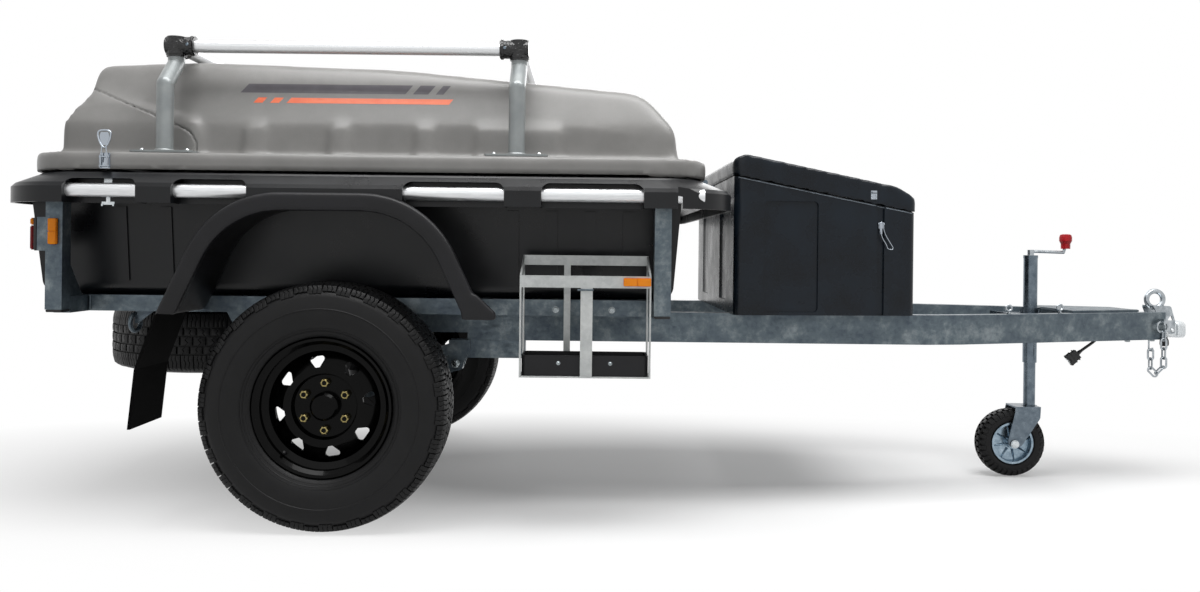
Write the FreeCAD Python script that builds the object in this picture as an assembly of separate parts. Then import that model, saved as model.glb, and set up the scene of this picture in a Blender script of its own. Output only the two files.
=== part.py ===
import FreeCAD, Part
import math
import os

# Off-road pod trailer, parked on its jockey wheel. Millimetres, +X forward, +Y left, +Z up.
# The pieces are drawn with x = 0 at the axle, then moved so that the origin lies
# on the ground under the middle of the trailer's length.

V = FreeCAD.Vector

# Gap between pieces that seat on each other, and how far a cutting shape reaches past its piece
SEAT = 0.3
OVER = 1.0

# Overall length
REAR_END = -985.0
NOSE_END = 3040.0

# Widths that follow the moulded rim: the posts stand inside it, the guards reach past it
RIM_HALF = 900.0
POST_INSET = 95.0
POST_Y = RIM_HALF - POST_INSET
GUARD_OUT = RIM_HALF + 30.0

# Wheels: 235/75R15 tyres on 15 inch steel rims with six studs
TYRE_R = 366.7
TYRE_W = 235.0
TYRE_INSET = 15.0
WHEEL_Y = GUARD_OUT - TYRE_INSET - TYRE_W / 2
TYRE_SKIN = 12.0
TREAD_SKIN = 15.0
SIDE_BULGE = 82.0
BEAD_R = 190.0
FLANGE_R = 208.0
FLANGE_T = 7.0
RIM_W = 165.0
RIM_SKIN_T = 5.0
DISC_R = 165.0
DISC_RIDGE = 120.0
DISC_DEPTH = 44.0
DISC_WALL = 6.0
STUD_PCD = 139.7
STUD_COUNT = 6
STUD_R = 6.0
STUD_TIP = 22.0
STUD_PLAY = 2.0
NUT_R = 10.5
NUT_H = 20.0
CAP_R = 41.5
CAP_H = 30.0
CAP_EDGE = 7.0
HUB_FLANGE_R = 85.0
HUB_FLANGE_T = 12.0
HUB_DRUM_R = 60.0
HUB_DRUM = 58.0
HOLE_COUNT = 8
HOLE_TURN = 10.0
HOLE_OUT = (152.0, 0.2, 9.0)
HOLE_IN = (117.0, 0.06, 4.0)
STUB_R = 22.0
STUB_GAP = 20.0
AXLE_Z = TYRE_R

# Chassis: hot-dipped box section, 50 mm wide
BAR = 50.0
STEEL = 4.0
RAIL_H = 100.0
RAIL_W = 50.0
RAIL_Y = 405.0
RAIL_TOP = 630.0
RAIL_REAR = 370.0
BEND_X = 1970.0
BEND_RUN = 60.0
RAIL_NOSE = 2905.0
NOSE_Y = 75.0
FRAME_TOP = RAIL_TOP + BAR
POST_ARM = 115.0
FRAME_OUT = POST_Y - BAR / 2 - POST_ARM
FRAME_REAR = -840.0
FRAME_FRONT = 1020.0
AXLE_CROSS = -455.0
PIVOT_CROSS = 340.0
BOX_CROSS = 1600.0
BOX_CROSS_W = 40.0
BOX_CROSS_DROP = 30.0
SUB_REAR = -450.0
SUB_BOTTOM = 555.0
SUB_SLANT = 40.0
GUSSET_W = 85.0
GUSSET_H = 110.0
GUSSET_T = 6.0
CARRIER_ARM = 40.0
CARRIER_T = 10.0
RECOVERY_X = -655.0
RECOVERY_PLATE = ((0, 0), (60, 0), (9, -40), (0, -40))
RECOVERY_RING = 27.0
RECOVERY_BAR = 7.0
RECOVERY_DROP = 37.0
RECOVERY_LEAN = 0.16
POST_FOOT = 642.0

# Tub
RIM_TOP = 1051.0
RIM_BOTTOM = 960.0
RIM_FRONT = 1210.0
RIM_CORNER = 190.0
BEVEL_SIDE = 42.0
BEVEL_END = 92.0
BEVEL_DROP = 44.0
BEVEL = ((0.27, 0.14), (0.86, 0.87), (1.0, 1.0))
RIM_SKIN = 12.0
TUB_GAP = 80.0
TUB_TOP_HALF = POST_Y - BAR / 2 - TUB_GAP
TUB_DRAFT = 45.0
TUB_REAR_GAP = 22.0
TUB_FRONT = 1066.0
TUB_CORNER = 45.0
MOUTH_SIDE = 52.0
MOUTH_REAR = 95.0
MOUTH_CORNER = 40.0
END_DRAFT = 0.6
WALL = 8.0
RIB_W = 36.0
RIB_DEPTH = 6.0
RIB_X = (-700.0, -560.0, 520.0, 640.0, 760.0, 880.0)
RIB_TOP_GAP = 95.0
SCOOPS = ((-757, -544), (-441, -222), (231, 526), (634, 933))
SCOOP_DEPTH = 62.0
SCOOP_TOP_GAP = 20.0
SCOOP_CORNER = 26.0
SCOOP_SKIN = 5.0
END_SCOOP = (1032, 1095)
END_SCOOP_DEPTH = 14.0
TIE_R = 21.0
TIE_WALL = 3.0
TIE_Y = RIM_HALF - 36.0
TIE_Z = RIM_BOTTOM + 38.0
TIES = ((-775, -205), (215, 965), (1014, 1112))

# Lid
LID_REAR = -925.0
LID_FRONT = 1135.0
LID_CORNER = 180.0
LID_HALF = RIM_HALF - 40.0
LID_SEAT = RIM_TOP + SEAT
FLANGE_H = 64.0
FLANGE_TOP = LID_SEAT + FLANGE_H
FLANGE_EDGE = 16.0
BODY_HALF = LID_HALF - 160.0
SHOULDER = FLANGE_TOP + 98.0
SHOULDER_HALF = BODY_HALF - 8.0
LID_RISE = 313.7
LID_TOP = FLANGE_TOP + LID_RISE
TOP_HALF = BODY_HALF - 112.0
TOP_ROUND = 24.0
BODY_SINK = 30.0
REAR_FOOT = -850.0
REAR_BACK = -803.0
REAR_KINK = 130.0
REAR_ROUND = 16.0
CREST_X = -470.0
FRONT_FOOT = 1052.0
BROW_X = 945.0
BROW_DROP = 94.0
NECK_X = 168.0
NECK_DROP = 20.0
SIDE_ROUNDS = (0, 60, 34, 400, 900, 130, 60, 0)
FACE_ROUND = 40.0
BUTTRESS_X = ((-297, -232), (-34, 28), (233, 292), (422, 688))
BUTTRESS_DEPTH = 14.0
BUTTRESS_IN = 20.0
BUTTRESS_LEAN = 2.0
BUTTRESS_DROP = 12.0
BUTTRESS_RISE = 40.0
BUTTRESS_EDGE = 8.0
BLOCK_DEPTH = 12.0
BLOCK_SINK = 12.0
BLOCK_CREASE = ((-4 + REAR_BACK, 113), (-581, 166), (-453, 198), (-430, 240))
BLOCK_ROUNDS = (0, 30, 30, 60, 20, 12, 0)
LEAF_Y = 420.0
LEAF_HALF = 50.0
LEAF_T = 4.0
LEAF_REAR = 6.0
LEAF_FRONT = 30.0
KNUCKLE = 20.0
KNUCKLE_PLAY = 1.0
LID_LEAF = (-8.0, 24.0)
HINGE_X = LID_FRONT + 25.0
HINGE_Z = RIM_TOP + 15.0
KNUCKLE_R = 9.0
HINGE_PIN_R = 4.0
HINGE_PIN_OVER = 2.0
SIDE_LATCH = (-668.0, -632.0)
SIDE_LATCH_Z = (-56.0, -4.0)
SIDE_LEVER_Z = (-50.0, -20.0)
SIDE_HOOK_Z = (-30.0, 58.0)
REAR_LATCH = (-520.0, -484.0)
REAR_LATCH_Z = (-52.0, -18.0)
REAR_HOOK_Z = (-30.0, 34.0)
HOOK_INSET = 8.0
SIDE_LEVER_T = 8.0

# Roof rack
LEG_X = (-510.0, 553.0)
LEG_Y = LID_HALF - 80.0
LEG_R = 25.0
LEG_FOOT_X = 95.0
LEG_FOOT_Y = 36.0
LEG_FOOT_T = 6.0
LEG_FOOT_CORNER = 12.0
LEG_WELD = 6.0
BAR_R = 20.0
BAR_GAP = 6.0
BAR_Z = LID_TOP + BAR_GAP + BAR_R
BAR_Y = LEG_Y - 80.0
LEG_TOP = BAR_Z - 35.0
LEG_BEND = LEG_TOP - 95.0
LEG_NECK = 20.0
JOINT_RIM = 9.0
JOINT_RIM_IN = 3.0
JOINT_RIM_UP = 6.0
JOINT_STEP = 2.0
JOINT_R = 29.0
JOINT_REACH = 60.0
JOINT_SIDE = 70.0

# Mudguards: a rounded trapezoid over the wheel
GUARD_LIP = 27.0
GUARD_FOOT = 475.0
GUARD_LOW = 638.0
GUARD_TOP = 995.0
GUARD_LEAN = 65.0
GUARD_ROUND = 300.0
GUARD_BAND = 54.0
GUARD_SHELF = 38.0
GUARD_SKIN = 7.0
GUARD_EDGE = 10.0
TOE_OUT = 35.0
TOE_BACK = 66.0
TOE_DROP = 6.0
TOE_LOW = 650.0
TOE_TOP = 705.0
TOE_SLOPE = 57.0
FLAP_W = 216.0
FLAP_T = 8.0
FLAP_IN = 5.0
FLAP_LAP = 2.0
FLAP_KNEE = (58.0, 480.0)
FLAP_END = (76.0, 306.0)

# Lamps
LAMP_W = 80.0
LAMP_H = 100.0
LAMP_T = 23.0
LAMP_Z = 817.0
LAMP_STEP = 26.0
LAMP_INSET = 1.0
LAMP_TAB = 48.0
LAMP_EDGE = 8.0
MARKER_T = 14.0
MARKER_W = 26.0
MARKER_Z = (836.0, 914.0)
MARKER_EDGE = 5.0
FRONT_MARKER_X = (775.0, 855.0)
FRONT_MARKER_DROP = 5.0
FRONT_MARKER_H = 24.0

# Jerry-can holder, outside the tub behind the front post
CAN_X = (575.0, 957.0)
CAN_OUT = RIM_HALF
CAN_IN = CAN_OUT - 162.0
CAN_FLOOR = 465.0
CAN_FRONT_TOP = 762.0
CAN_BACK_TOP = 820.0
STRAP = 35.0
STRAP_T = 4.0
STRAP_X = 752.0
CAN_SIDE_T = 5.0
CAN_BACK_T = 6.0
CAN_BACK_H = 30.0
CAN_ARM_X = 700.0
CAN_ARM = 20.0
TRAY_H = 60.0
TRAY_WALL = 6.0
TRAY_END = 6.0
TRAY_OUT = 10.0
TRAY_IN = 22.0
TRAY_CORNER = 15.0

# Toolbox
BOX_REAR = 1250.0
BOX_FRONT = 1862.0
BOX_HALF = 540.0
BOX_TAPER = 70.0
BOX_CORNER = 25.0
BOX_TOP = 1158.0
BOX_SPLIT_REAR = 1086.0
BOX_SPLIT_FRONT = 973.0
SPLIT_GAP = 0.5
LID_LIP = 5.0
LID_SKIRT = 40.0
LID_BACK = (37.0, 14.0)
LID_BROW = (62.0, 98.0)
LID_LOW = 138.0
LID_ROUNDS = (0, 14, 30, 60, 20, 0)
RECESS = (1350.0, 1530.0)
RECESS_TOP = 1005.0
RECESS_LOW = 10.0
RECESS_DEPTH = 6.0
RECESS_CORNER = 14.0
GROOVE_HALF = 12.0
LATCH_X = BOX_FRONT - 119.0
GROOVE = (LATCH_X - GROOVE_HALF, LATCH_X + GROOVE_HALF)
GROOVE_DEPTH = 7.0
FLUTE_R = 420.0
FLUTE_DEPTH = 9.0
FLUTE_Y = 255.0
FLUTE_END = 40.0
ROOF_RIB = (57.0, 497.0)
ROOF_RIB_Y = 150.0
ROOF_RIB_HALF = 45.0
ROOF_RIB_H = 8.0
ROOF_RIB_SLANT = 10.0
LATCH_Z = (850.0, 940.0)
LATCH_HALF = 11.0
LATCH_T = 3.0
LEVER_T = 6.0
LEVER_IN = 2.0
LEVER_SPAN = (10.0, 52.0)
LATCH_BAR_R = 4.0

# Spare wheel under the rear
SPARE_X = -625.0
SPARE_Z = 507.5

# Suspension
PIVOT_X = 333.0
PIVOT_Z = 451.0
ARM_W = 44.0
ARM_H = 40.0
EAR_T = 8.0
EYE_R = 25.0
EAR_REACH = 47.0
EAR_SLANT = 49.0
PIVOT_BLOCK = (33.0, 231.0)
PIVOT_BLOCK_RISE = 19.0
PIN_R = 8.0
SADDLE = 10.0
ARM_KEEL = (8.0, 12.0)
SPRING_X = 15.0
SPRING_R = 50.0
SPRING_NECK = 38.0
SPRING_END = 44.0
SPRING_STEPS = 6
PAN_T = 6.0
PAN_LIP = 2.0

# Jockey stand
JOCKEY_X = 2455.0
JOCKEY_OUT_R = 25.0
JOCKEY_IN_R = 21.0
JOCKEY_SLIP = 0.6
JOCKEY_FOOT = 430.0
JOCKEY_HEAD = 825.0
JOCKEY_CROWN = 268.0
JOCKEY_WHEEL_X = 2381.0
JOCKEY_WHEEL_R = 127.0
JOCKEY_TYRE_W = 74.0
FORK_HALF = 48.0
FORK_T = 5.0
BLADE_HALF = 24.0
BLADE_EAR = 40.0
BLADE_SHOULDER = 16.0
BLADE_ROUNDS = (4, 4, 20, 20, 20, 30)
CLAMP_R = 36.0
CLAMP_Z = (570.0, 640.0)
CLAMP_BOLT = 16.0
CLAMP_PLATE = 60.0
CLAMP_PLATE_T = 16.0
CLAMP_PLATE_RISE = 26.0
CROWN_T = 11.0
CRANK_REACH = 124.0
CRANK_R = 6.0
CRANK_NECK_R = 12.0
CRANK_NECK = 20.0
CRANK_RISE = 15.0
CRANK_LEAN = 8.0
GRIP_DROP = 10.0
GRIP = ((0, 0), (9, 0), (9, 14), (14, 20), (16, 28), (16, 42), (12, 50), (0, 52))
INNER_TOP = 165.0
JOCKEY_BEAD_R = 78.0
HUB_SLIP = 0.4
HUB_HALF = 38.0
HUB_BOSS_R = 20.0
HUB_WEB = 12.0
HUB_WALL = 5.0

# Coupling, chain and trailer plug
NOSE_PLATE = (2520.0, 2810.0)
NOSE_LAP = 15.0
YOKE = (105.0, 15.0)
YOKE_T = 16.0
YOKE_DROP = 30.0
SHANK_REAR = 70.0
SHANK_T = 29.0
WAIST_REAR = 8.0
WAIST_FRONT = 4.0
HEAD_EDGE = 20.0
LIP_DROP = 8.0
LIP_T = 4.0
SOCKET_RISE = 26.0
BALL_R = 25.25
BALL_X = 2996.0
BALL_FACE = 540.0
HEAD_R = 44.0
HEAD_H = 54.0
BASE_T = 8.0
SHANK_HALF = 34.0
CHEEK_Y = 37.0
CHEEK_T = 5.0
LEVER_X = 2973.0
LEVER_Z = 560.0
RING_R = 31.0
RING_BAR = 9.5
RING_BACK = 45.0
RING_RISE = 114.0
CHEEK = ((-72, 91), (-7, 91), (9, 34), (9, -12), (-9, -14), (-49, 34))
CHEEK_ROUNDS = (6, 10, 14, 8, 8, 20)
CHEEK_WINDOW = ((-20, 38), (1, 36), (-7, 58))
CHEEK_WINDOW_ROUND = 3.0
CHEEK_WEB = ((-72, 91), (-12, 91), (-8, 84), (-68, 84))
LOOP_POINTS = 12
WIRE_SIDES = 6
LINK_BAR = 3.5
LINK_HALF = 10.5
LINK_ARM = 10.0
LINK_REST = 3.3
BEND_REST = 2.9
CHAIN_X = 2848.0
CHAIN_Y = -118.0
CHAIN_TOP = 476.0
CHAIN_TURNS = (0, 45, 135, 180, 180, 180, 180)
HOOK_SPAN = 12.0
HOOK_TIP = 12.0
HOOK_R = 3.0
SHACKLE_BAR = 4.5
SHACKLE_HALF = 8.0
SHACKLE_ARM = 18.5
SHACKLE_REST = 1.7
LUG_T = 8.0
LUG_H = 22.0
LUG_LAP = 6.0
LEAD_R = 5.0
LEAD = [(2668, -118, 592), (2668, -118, 572), (2662, -118, 550), (2648, -118, 529),
        (2626, -118, 511), (2601, -118, 494), (2579, -118, 476)]
PLUG_LONG = 44.0
PLUG_W = 41.0
PLUG_T = 16.0
PLUG_SKIN = 3.0
PLUG_STEP = 0.45
PLUG_WELL = 0.6
PLUG_NOTCH = 0.82
GLAND_R = 9.0
GLAND_CONE = 4.0
GLAND_TIP = 2.0
ARC_SHARE = 0.45


def box(x0, x1, y0, y1, z0, z1):
    return Part.makeBox(x1 - x0, y1 - y0, z1 - z0, V(x0, y0, z0))


def cyl(r, start, end):
    a = V(*start)
    d = V(*end) - a
    return Part.makeCylinder(r, d.Length, a, d)


def tube(r_out, r_in, start, end):
    return cyl(r_out, start, end).cut(cyl(r_in, start, end))


def outline(points, r, lift):
    # A closed wire through corners in a plane; r rounds every corner, or is a list of radii.
    n = len(points)
    radii = r if isinstance(r, (list, tuple)) else [r] * n
    bends = []
    for i, p in enumerate(points):
        here = V(p[0], p[1], 0)
        back = (V(points[i - 1][0], points[i - 1][1], 0) - here).normalize()
        on = (V(points[(i + 1) % n][0], points[(i + 1) % n][1], 0) - here).normalize()
        if radii[i] <= 0:
            bends.append((here, here, here))
            continue
        half = back.getAngle(on) / 2
        inward = (back + on).normalize()
        mid = here + inward * (radii[i] / math.sin(half) - radii[i])
        reach = radii[i] / math.tan(half)
        bends.append((here + back * reach, mid, here + on * reach))
    edges = []
    for i, (start, mid, end) in enumerate(bends):
        if radii[i] > 0:
            edges.append(Part.Arc(lift(start), lift(mid), lift(end)).toShape())
        following = bends[(i + 1) % n][0]
        if (following - end).Length > 1e-6:
            edges.append(Part.makeLine(lift(end), lift(following)))
    return Part.Wire(edges)


def prism_y(points, y0, y1, r=0):
    wire = outline(points, r, lambda q: V(q.x, y0, q.y))
    return Part.Face(wire).extrude(V(0, y1 - y0, 0))


def prism_x(points, x0, x1, r=0):
    wire = outline(points, r, lambda q: V(x0, q.x, q.y))
    return Part.Face(wire).extrude(V(x1 - x0, 0, 0))


def prism_z(points, z0, z1, r=0):
    wire = outline(points, r, lambda q: V(q.x, q.y, z0))
    return Part.Face(wire).extrude(V(0, 0, z1 - z0))


def corners(u0, u1, v0, v1):
    return [(u0, v0), (u1, v0), (u1, v1), (u0, v1)]


def plate(x0, x1, y0, y1, z0, z1, r):
    # A plate with upright rounded corners.
    return prism_z(corners(x0, x1, y0, y1), z0, z1, r)


def mirrored(s):
    return s.mirror(V(0, 0, 0), V(0, 1, 0))


def both(s):
    return Part.makeCompound([s, mirrored(s)])


def fuse(shapes):
    out = shapes[0]
    if len(shapes) > 1:
        out = out.fuse(shapes[1:])
    return out.removeSplitter()


def revolve_y(profile, x, y, z):
    # profile holds (radius, offset along Y) pairs
    wire = outline([(x + r, y + o) for r, o in profile], 0, lambda q: V(q.x, q.y, z))
    return Part.Face(wire).revolve(V(x, y, z), V(0, 1, 0), 360)


def revolve_z(profile, x, y, z):
    wire = outline([(x + r, z + o) for r, o in profile], 0, lambda q: V(q.x, y, q.y))
    return Part.Face(wire).revolve(V(x, y, z), V(0, 0, 1), 360)


def bent_bar(points, width, z0, z1):
    # A flat bar that follows a centre line in plan, with mitred bends.
    left, right = [], []
    for i, p in enumerate(points):
        stops = [points[max(i - 1, 0)], p, points[min(i + 1, len(points) - 1)]]
        turns = [math.atan2(b[1] - a[1], b[0] - a[0]) for a, b in zip(stops, stops[1:]) if a != b]
        mid = sum(turns) / len(turns)
        w = width / 2 / math.cos((turns[-1] - turns[0]) / 2)
        nx, ny = -math.sin(mid) * w, math.cos(mid) * w
        left.append((p[0] + nx, p[1] + ny))
        right.append((p[0] - nx, p[1] - ny))
    return prism_z(left + right[::-1], z0, z1)


def ring_bar(path, r, sides):
    # A closed bar of polygon section that follows corner points with mitred bends.
    n = len(path)
    loops = []
    for i, p in enumerate(path):
        into = (p - path[i - 1]).normalize()
        out = (path[(i + 1) % n] - p).normalize()
        plane = (into + out).normalize()
        up = into.cross(out).normalize()
        side = up.cross(plane).normalize() * (1 / plane.dot(out))
        loop = []
        for k in range(sides):
            a = 2 * math.pi * (k + 0.5) / sides
            loop.append(p + up * (r * math.sin(a)) + side * (r * math.cos(a)))
        loops.append(loop)
    faces = []
    for i in range(n):
        a, b = loops[i], loops[(i + 1) % n]
        for k in range(sides):
            j = (k + 1) % sides
            faces.append(Part.Face(Part.makePolygon([a[k], b[k], b[j], a[j], a[k]])))
    solid = Part.makeSolid(Part.makeShell(faces))
    return solid if solid.Volume > 0 else solid.reversed()


# Chassis

def rail_y(x):
    # Centre line of a drawbar rail in the stretch that runs in to the nose.
    slope = (RAIL_Y - NOSE_Y) / (RAIL_NOSE - BEND_X)
    return RAIL_Y - slope * (x - BEND_X)


def rail_inner(x):
    slope = (RAIL_Y - NOSE_Y) / (RAIL_NOSE - BEND_X)
    return rail_y(x) - RAIL_W / 2 * math.hypot(1, slope)


def rail_path(rear, nose):
    bend = BEND_X + BEND_RUN
    return [(rear, RAIL_Y), (BEND_X - BEND_RUN, RAIL_Y), (bend, rail_y(bend)), (nose, rail_y(nose))]


def drawbar_rails():
    outer = bent_bar(rail_path(RAIL_REAR, RAIL_NOSE), RAIL_W, RAIL_TOP - RAIL_H, RAIL_TOP)
    inner = bent_bar(rail_path(RAIL_REAR - OVER, RAIL_NOSE - 2 * STEEL), RAIL_W - 2 * STEEL,
                     RAIL_TOP - RAIL_H + STEEL, RAIL_TOP - STEEL)
    return both(outer.cut(inner))


def side_rails():
    side = box(FRAME_REAR, FRAME_FRONT, FRAME_OUT - BAR, FRAME_OUT, FRAME_TOP - BAR, FRAME_TOP)
    bore = box(FRAME_REAR - OVER, FRAME_FRONT + OVER, FRAME_OUT - BAR + STEEL, FRAME_OUT - STEEL,
               FRAME_TOP - BAR + STEEL, FRAME_TOP - STEEL)
    front = RAIL_REAR - SEAT
    sub = prism_y([(SUB_REAR + SUB_SLANT, SUB_BOTTOM), (front, SUB_BOTTOM), (front, RAIL_TOP),
                   (SUB_REAR, RAIL_TOP)], RAIL_Y - RAIL_W / 2, RAIL_Y + RAIL_W / 2)
    side = side.cut(bore)
    return Part.makeCompound([side, mirrored(side), sub, mirrored(sub)])


def spare_disc_z():
    return SPARE_Z - RIM_W / 2 + DISC_DEPTH + DISC_WALL + SEAT


def cross_members():
    bars = []
    half = FRAME_OUT - BAR
    for x in (FRAME_REAR, AXLE_CROSS, PIVOT_CROSS, FRAME_FRONT - BAR):
        bars.append(box(x, x + BAR, -half, half, RAIL_TOP, FRAME_TOP))
    inside = RAIL_Y - RAIL_W / 2 - SEAT
    top = RAIL_TOP - BOX_CROSS_DROP
    bars.append(box(BOX_CROSS, BOX_CROSS + BOX_CROSS_W, -inside, inside, top - BOX_CROSS_W, top))
    carrier = box(SPARE_X - CARRIER_ARM, SPARE_X + CARRIER_ARM, -half, half, RAIL_TOP, FRAME_TOP)
    disc = spare_disc_z()
    stem = cyl(BAR / 2, (SPARE_X, 0, disc), (SPARE_X, 0, RAIL_TOP))
    clamp = cyl(HUB_FLANGE_R, (SPARE_X, 0, disc), (SPARE_X, 0, disc + CARRIER_T))
    bars.append(fuse([carrier, stem, clamp]))
    return Part.makeCompound(bars)


def corner_posts():
    posts = []
    top = RIM_TOP - WALL - SEAT
    for x in (FRAME_REAR, FRAME_FRONT - BAR):
        post = box(x, x + BAR, POST_Y - BAR / 2, POST_Y + BAR / 2, POST_FOOT, top)
        bore = box(x + STEEL, x + BAR - STEEL, POST_Y - BAR / 2 + STEEL, POST_Y + BAR / 2 - STEEL,
                   POST_FOOT - OVER, top - STEEL)
        arm = box(x, x + BAR, FRAME_OUT, POST_Y - BAR / 2, FRAME_TOP - BAR, FRAME_TOP)
        posts.append(fuse([post.cut(bore), arm]))
    return Part.makeCompound(posts + [mirrored(p) for p in posts])


def gusset(x):
    # A triangle between the post's inner face and the arm's top.
    low = FRAME_TOP + SEAT
    out = POST_Y - BAR / 2 - SEAT
    return prism_x([(out, low), (out, low + GUSSET_H), (out - GUSSET_W, low)], x, x + GUSSET_T)


def lamp_bracket():
    # An angle plate on the post's rear face that carries the tail lamp.
    out = POST_Y + BAR / 2 - LAMP_INSET
    rear = FRAME_REAR - LAMP_STEP
    z0, z1 = LAMP_Z, LAMP_Z + LAMP_H
    side = box(rear, FRAME_REAR - SEAT, out - STEEL, out, z0, z1)
    back = box(rear, rear + STEEL, out - LAMP_W, out, z0, z1)
    tab = box(FRAME_REAR - SEAT - STEEL, FRAME_REAR - SEAT, out - LAMP_TAB, out, z0, z1)
    return fuse([side, back, tab])


def pivot_bracket():
    # Ears under the drawbar rail that hold the pin of the trailing arm.
    x, z = PIVOT_X, PIVOT_Z
    low, top = z + PIVOT_BLOCK_RISE, RAIL_TOP - RAIL_H - SEAT
    inner, outer = RAIL_Y - RAIL_W / 2, RAIL_Y + RAIL_W / 2
    block = box(x + PIVOT_BLOCK[0], x + PIVOT_BLOCK[1], inner, outer, low, top)
    reach = x + EAR_REACH
    shape = [(x - EYE_R, z), (x + EYE_R, z), (reach, z + EAR_SLANT), (reach, top), (x - EYE_R, top)]
    ears = []
    for y in (inner - EAR_T, outer):
        ear = fuse([cyl(EYE_R, (x, y, z), (x, y + EAR_T, z)), prism_y(shape, y, y + EAR_T)])
        ears.append(ear.cut(cyl(PIN_R + SEAT, (x, y - OVER, z), (x, y + EAR_T + OVER, z))))
    return fuse([block] + ears)


def recovery_eye():
    # A welded ring on a plate under the side rail behind the wheel.
    x, y, z = RECOVERY_X, FRAME_OUT - BAR / 2, FRAME_TOP - BAR - SEAT
    web = prism_y([(x + u, z + v) for u, v in RECOVERY_PLATE], y - STEEL, y + STEEL)
    axis = V(1, RECOVERY_LEAN, 0)
    ring = Part.makeTorus(RECOVERY_RING, RECOVERY_BAR, V(x, y, z - RECOVERY_DROP), axis)
    return fuse([web, ring])


def bracket_plates():
    gussets = [gusset(FRAME_REAR + BAR - 2 * GUSSET_T), gusset(FRAME_FRONT - BAR + GUSSET_T)]
    plates = gussets + [lamp_bracket(), pivot_bracket()]
    single = [mirrored(recovery_eye()), nose_plate()]
    return Part.makeCompound(plates + [mirrored(p) for p in plates] + single)


def suspension_arms():
    x, z, h = PIVOT_X, PIVOT_Z, ARM_H / 2
    y0, y1 = RAIL_Y - ARM_W / 2, RAIL_Y + ARM_W / 2
    seat = AXLE_Z + STUB_R + SADDLE
    keel = AXLE_Z - STUB_R
    ramp = SPRING_X + SPRING_R + SADDLE
    arm = prism_y([(x + h, z - h), (x + h, z + h), (x - h, z + h + STEEL), (ramp, seat), (-BAR, seat),
                   (-BAR, keel - ARM_KEEL[0]), (ARM_H, keel - ARM_KEEL[1])], y0, y1)
    pan = cyl(SPRING_R + PAN_LIP, (SPRING_X, RAIL_Y, seat - PAN_T), (SPRING_X, RAIL_Y, seat))
    stub = cyl(STUB_R, (0, RAIL_Y, AXLE_Z), (0, WHEEL_Y - STUB_GAP, AXLE_Z))
    reach = RAIL_W / 2 + 2 * EAR_T + OVER
    pin = cyl(PIN_R, (x, RAIL_Y - reach, z), (x, RAIL_Y + reach, z))
    return both(fuse([arm, pan, stub, pin]))


def springs():
    # Rubber spring columns with bulges and waists in turn.
    seat = AXLE_Z + STUB_R + SADDLE + SEAT
    top = SUB_BOTTOM - SEAT
    rise = (top - seat) / SPRING_STEPS
    profile = [(0, seat), (SPRING_END, seat)]
    for i in range(1, SPRING_STEPS):
        profile.append((SPRING_R if i % 2 else SPRING_NECK, seat + i * rise))
    profile += [(SPRING_END, top), (0, top)]
    return both(revolve_z(profile, SPRING_X, RAIL_Y, 0))


# Running gear

def tyre(x, y, z):
    # Bead on the rim's seat, sidewall, shoulder and crown, with an even wall inside.
    h = TYRE_W / 2
    b = RIM_W / 2
    bead = BEAD_R + SEAT
    bulge = TYRE_R - SIDE_BULGE
    side = [(bead, b - 14), (bead, b - 9), (BEAD_R + 11.3, b - 1.9), (FLANGE_R + 0.4, b - 0.8),
            (FLANGE_R + 1, b + 4), (FLANGE_R + 5, b + 9), (FLANGE_R + 32, h - 8), (bulge, h),
            (TYRE_R - 42, h - 8), (TYRE_R - 21, h - 14), (TYRE_R - 8, h - 22), (TYRE_R - 2, h - 47),
            (TYRE_R, h - 82)]
    crown = TYRE_R - TREAD_SKIN
    bore = [(crown, 0), (crown - 2, h - 38), (TYRE_R - 42, h - 8 - TYRE_SKIN), (bulge, h - TYRE_SKIN),
            (FLANGE_R + 32, h - 8 - TYRE_SKIN), (BEAD_R + 22, b - 8)]
    outer = [(r, -o) for r, o in side] + side[::-1]
    inner = bore[::-1] + [(r, -o) for r, o in bore[1:]]
    return revolve_y(outer + inner, x, y, z)


def wheel_disc_points(b):
    # The disc from its outer weld to the hub face, front skin then back skin.
    face = DISC_DEPTH - b
    back = face + DISC_WALL
    eye = CAP_R + SEAT + 0.2
    rise = DISC_DEPTH / 2 - b
    skin = [(DISC_R, rise + 10), (DISC_R, rise + 28), (DISC_RIDGE, rise), (98, rise + 4), (92, face)]
    under = [(96, back), (104, rise + 11), (DISC_RIDGE, rise + 7), (DISC_R, rise + 36)]
    return skin + [(eye, face), (eye, back)] + under


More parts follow.
